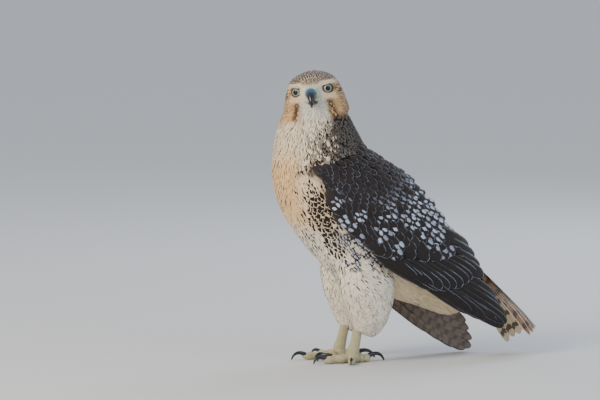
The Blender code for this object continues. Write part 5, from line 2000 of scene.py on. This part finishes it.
class HAWK_OT_feet(bpy.types.Operator):
    """Makes the scaled tarsi and toes, and the claws"""

    bl_idname = "hawk.feet"
    bl_label = "Feet"

    def execute(self, context):
        colours = colours_of(context)
        scales = scale_finish("toe_scale", tuple(colours.scale), tuple(np.array(colours.brown) * 0.6))
        horn = horn_finish("claw_horn", tuple(colours.horn), tuple(np.array(colours.bill_blue) * 0.12))
        for side, where in ((1, "left"), (-1, "right")):
            turn = np.linspace(0, 2 * math.pi, 36, endpoint=False)
            rings = []
            for y, z, half, deep in curve_at(TARSUS_STATIONS, np.linspace(0, 5, 70)):
                lean = TARSUS_LEAN[side] * (z - TARSUS_LEAN_FROM)
                saw = (z / TARSUS_PLATE) % 1.0
                scute = 0.5 * (0.5 - saw**2) * ramp(-np.cos(turn), 0.1, 0.6)
                x = side * (LEG_SPREAD + TARSUS_SPLAY * (z - TARSUS_SPLAY_FROM)) + (half + scute) * np.sin(turn)
                rings.append(np.stack([x, y + lean + (deep + scute) * np.cos(turn), np.full(36, z)], -1))
            points, faces = tube(rings)
            made = mesh_piece("tarsus_scales_" + where, points, faces, scales)
            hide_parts("tarsus_" + where)
            all_points, all_faces, count = [], [], 0
            palm = []
            for lift in np.linspace(0.06, math.pi - 0.06, 18):
                turn = np.linspace(0, 2 * math.pi, 30, endpoint=False)
                ring = np.stack(
                    [
                        np.cos(turn) * math.sin(lift),
                        PALM_LONG * np.sin(turn) * math.sin(lift),
                        np.full(30, PALM_FLAT * math.cos(lift)),
                    ],
                    -1,
                )
                ring = ring * PALM_RADIUS + np.array((side * LEG_SPREAD, *FOOT_MIDDLE))
                ring[:, 2] = np.maximum(ring[:, 2], 0.0)
                palm.append(ring)
            for rings in [palm] + [toe_tube(side, toe) for toe in TOES[side]]:
                points, faces = tube(rings)
                all_points.append(points)
                all_faces += [[count + v for v in f] for f in faces]
                count += len(points)
            made = mesh_piece("toes_" + where, np.concatenate(all_points), all_faces, scales)
            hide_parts("foot_" + where)
            for toe in TOES[side]:
                points, faces = tube(claw_tube(side, toe))
                name = f"claw_{where}_{toe[0]}"
                made = mesh_piece("horn_" + name, points, faces, horn)
                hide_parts(name)
        return {"FINISHED"}


class HAWK_OT_stage(bpy.types.Operator):
    """Sets the floor, the soft studio light and the camera"""

    bl_idname = "hawk.stage"
    bl_label = "Stage"

    def execute(self, context):
        scene = context.scene
        mesh = bpy.data.meshes.new("floor")
        mesh.from_pydata([(-40, -40, 0), (40, -40, 0), (40, 40, 0), (-40, 40, 0)], [], [(0, 1, 2, 3)])
        floor = bpy.data.objects.new("floor", mesh)
        scene.collection.objects.link(floor)
        made, _, shader = new_material("studio_floor", Roughness=0.9)
        shader.inputs["Base Color"].default_value = (*linear("#D8DADC"), 1)
        mesh.materials.append(made)
        world = bpy.data.worlds.new("studio")
        world.use_nodes = True
        world.node_tree.nodes["Background"].inputs[0].default_value = (*linear("#D7DCE3"), 1)
        world.node_tree.nodes["Background"].inputs[1].default_value = 0.95
        scene.world = world
        for name, place, size, power, tint in (
            ("key_light", (1.2, -2.6, 2.0), 1.3, 78.0, "#FFEBCD"),
            ("fill_light", (2.6, 1.4, 1.5), 1.8, 14.0, "#CFE0FF"),
            ("rim_light", (-1.6, 1.6, 1.8), 1.4, 24.0, "#E6EEFF"),
        ):
            lamp = bpy.data.lights.new(name, "AREA")
            lamp.size = size
            lamp.energy = power
            lamp.color = linear(tint)
            held = bpy.data.objects.new(name, lamp)
            held.location = place
            aim = Vector((0, 0, 0.25)) - Vector(place)
            held.rotation_mode = "QUATERNION"
            held.rotation_quaternion = aim.to_track_quat("-Z", "Y")
            scene.collection.objects.link(held)
        camera = bpy.data.cameras.new("camera")
        camera.lens = CAMERA_LENS
        camera.sensor_width = CAMERA_SENSOR
        camera.clip_end = 120
        held = bpy.data.objects.new("camera", camera)
        turn, lift = CAMERA_TURN, CAMERA_LIFT
        back = Vector((math.sin(turn) * math.cos(lift), -math.cos(turn) * math.cos(lift), math.sin(lift)))
        held.location = Vector(CAMERA_AIM) + back * CAMERA_FAR
        held.rotation_mode = "QUATERNION"
        held.rotation_quaternion = (-back).to_track_quat("-Z", "Y")
        scene.collection.objects.link(held)
        scene.camera = held
        return {"FINISHED"}


class HAWK_PT_panel(bpy.types.Panel):
    """Lists the hawk's pieces"""

    bl_idname = "HAWK_PT_panel"
    bl_label = "Hawk"
    bl_space_type = "VIEW_3D"
    bl_region_type = "UI"
    bl_category = "Hawk"

    def draw(self, context):
        for group in (context.scene.hawk_sizes, context.scene.hawk_colours):
            for key in type(group).__annotations__:
                self.layout.prop(group, key)
        for made in OPERATORS:
            self.layout.operator(made.bl_idname)


OPERATORS = (
    HAWK_OT_skin,
    HAWK_OT_body_coat,
    HAWK_OT_head_coat,
    HAWK_OT_leg_coat,
    HAWK_OT_wings,
    HAWK_OT_tail,
    HAWK_OT_eyes,
    HAWK_OT_bill,
    HAWK_OT_feet,
    HAWK_OT_stage,
)
CLASSES = (HawkSizes, HawkColours, *OPERATORS, HAWK_PT_panel)


def register():
    for made in CLASSES:
        bpy.utils.register_class(made)
    bpy.types.Scene.hawk_sizes = PointerProperty(type=HawkSizes)
    bpy.types.Scene.hawk_colours = PointerProperty(type=HawkColours)


def unregister():
    del bpy.types.Scene.hawk_colours
    del bpy.types.Scene.hawk_sizes
    for made in reversed(CLASSES):
        bpy.utils.unregister_class(made)


def main():
    register()
    for made in OPERATORS:
        group, name = made.bl_idname.split(".")
        getattr(getattr(bpy.ops, group), name)()


if __name__ == "__main__":
    main()
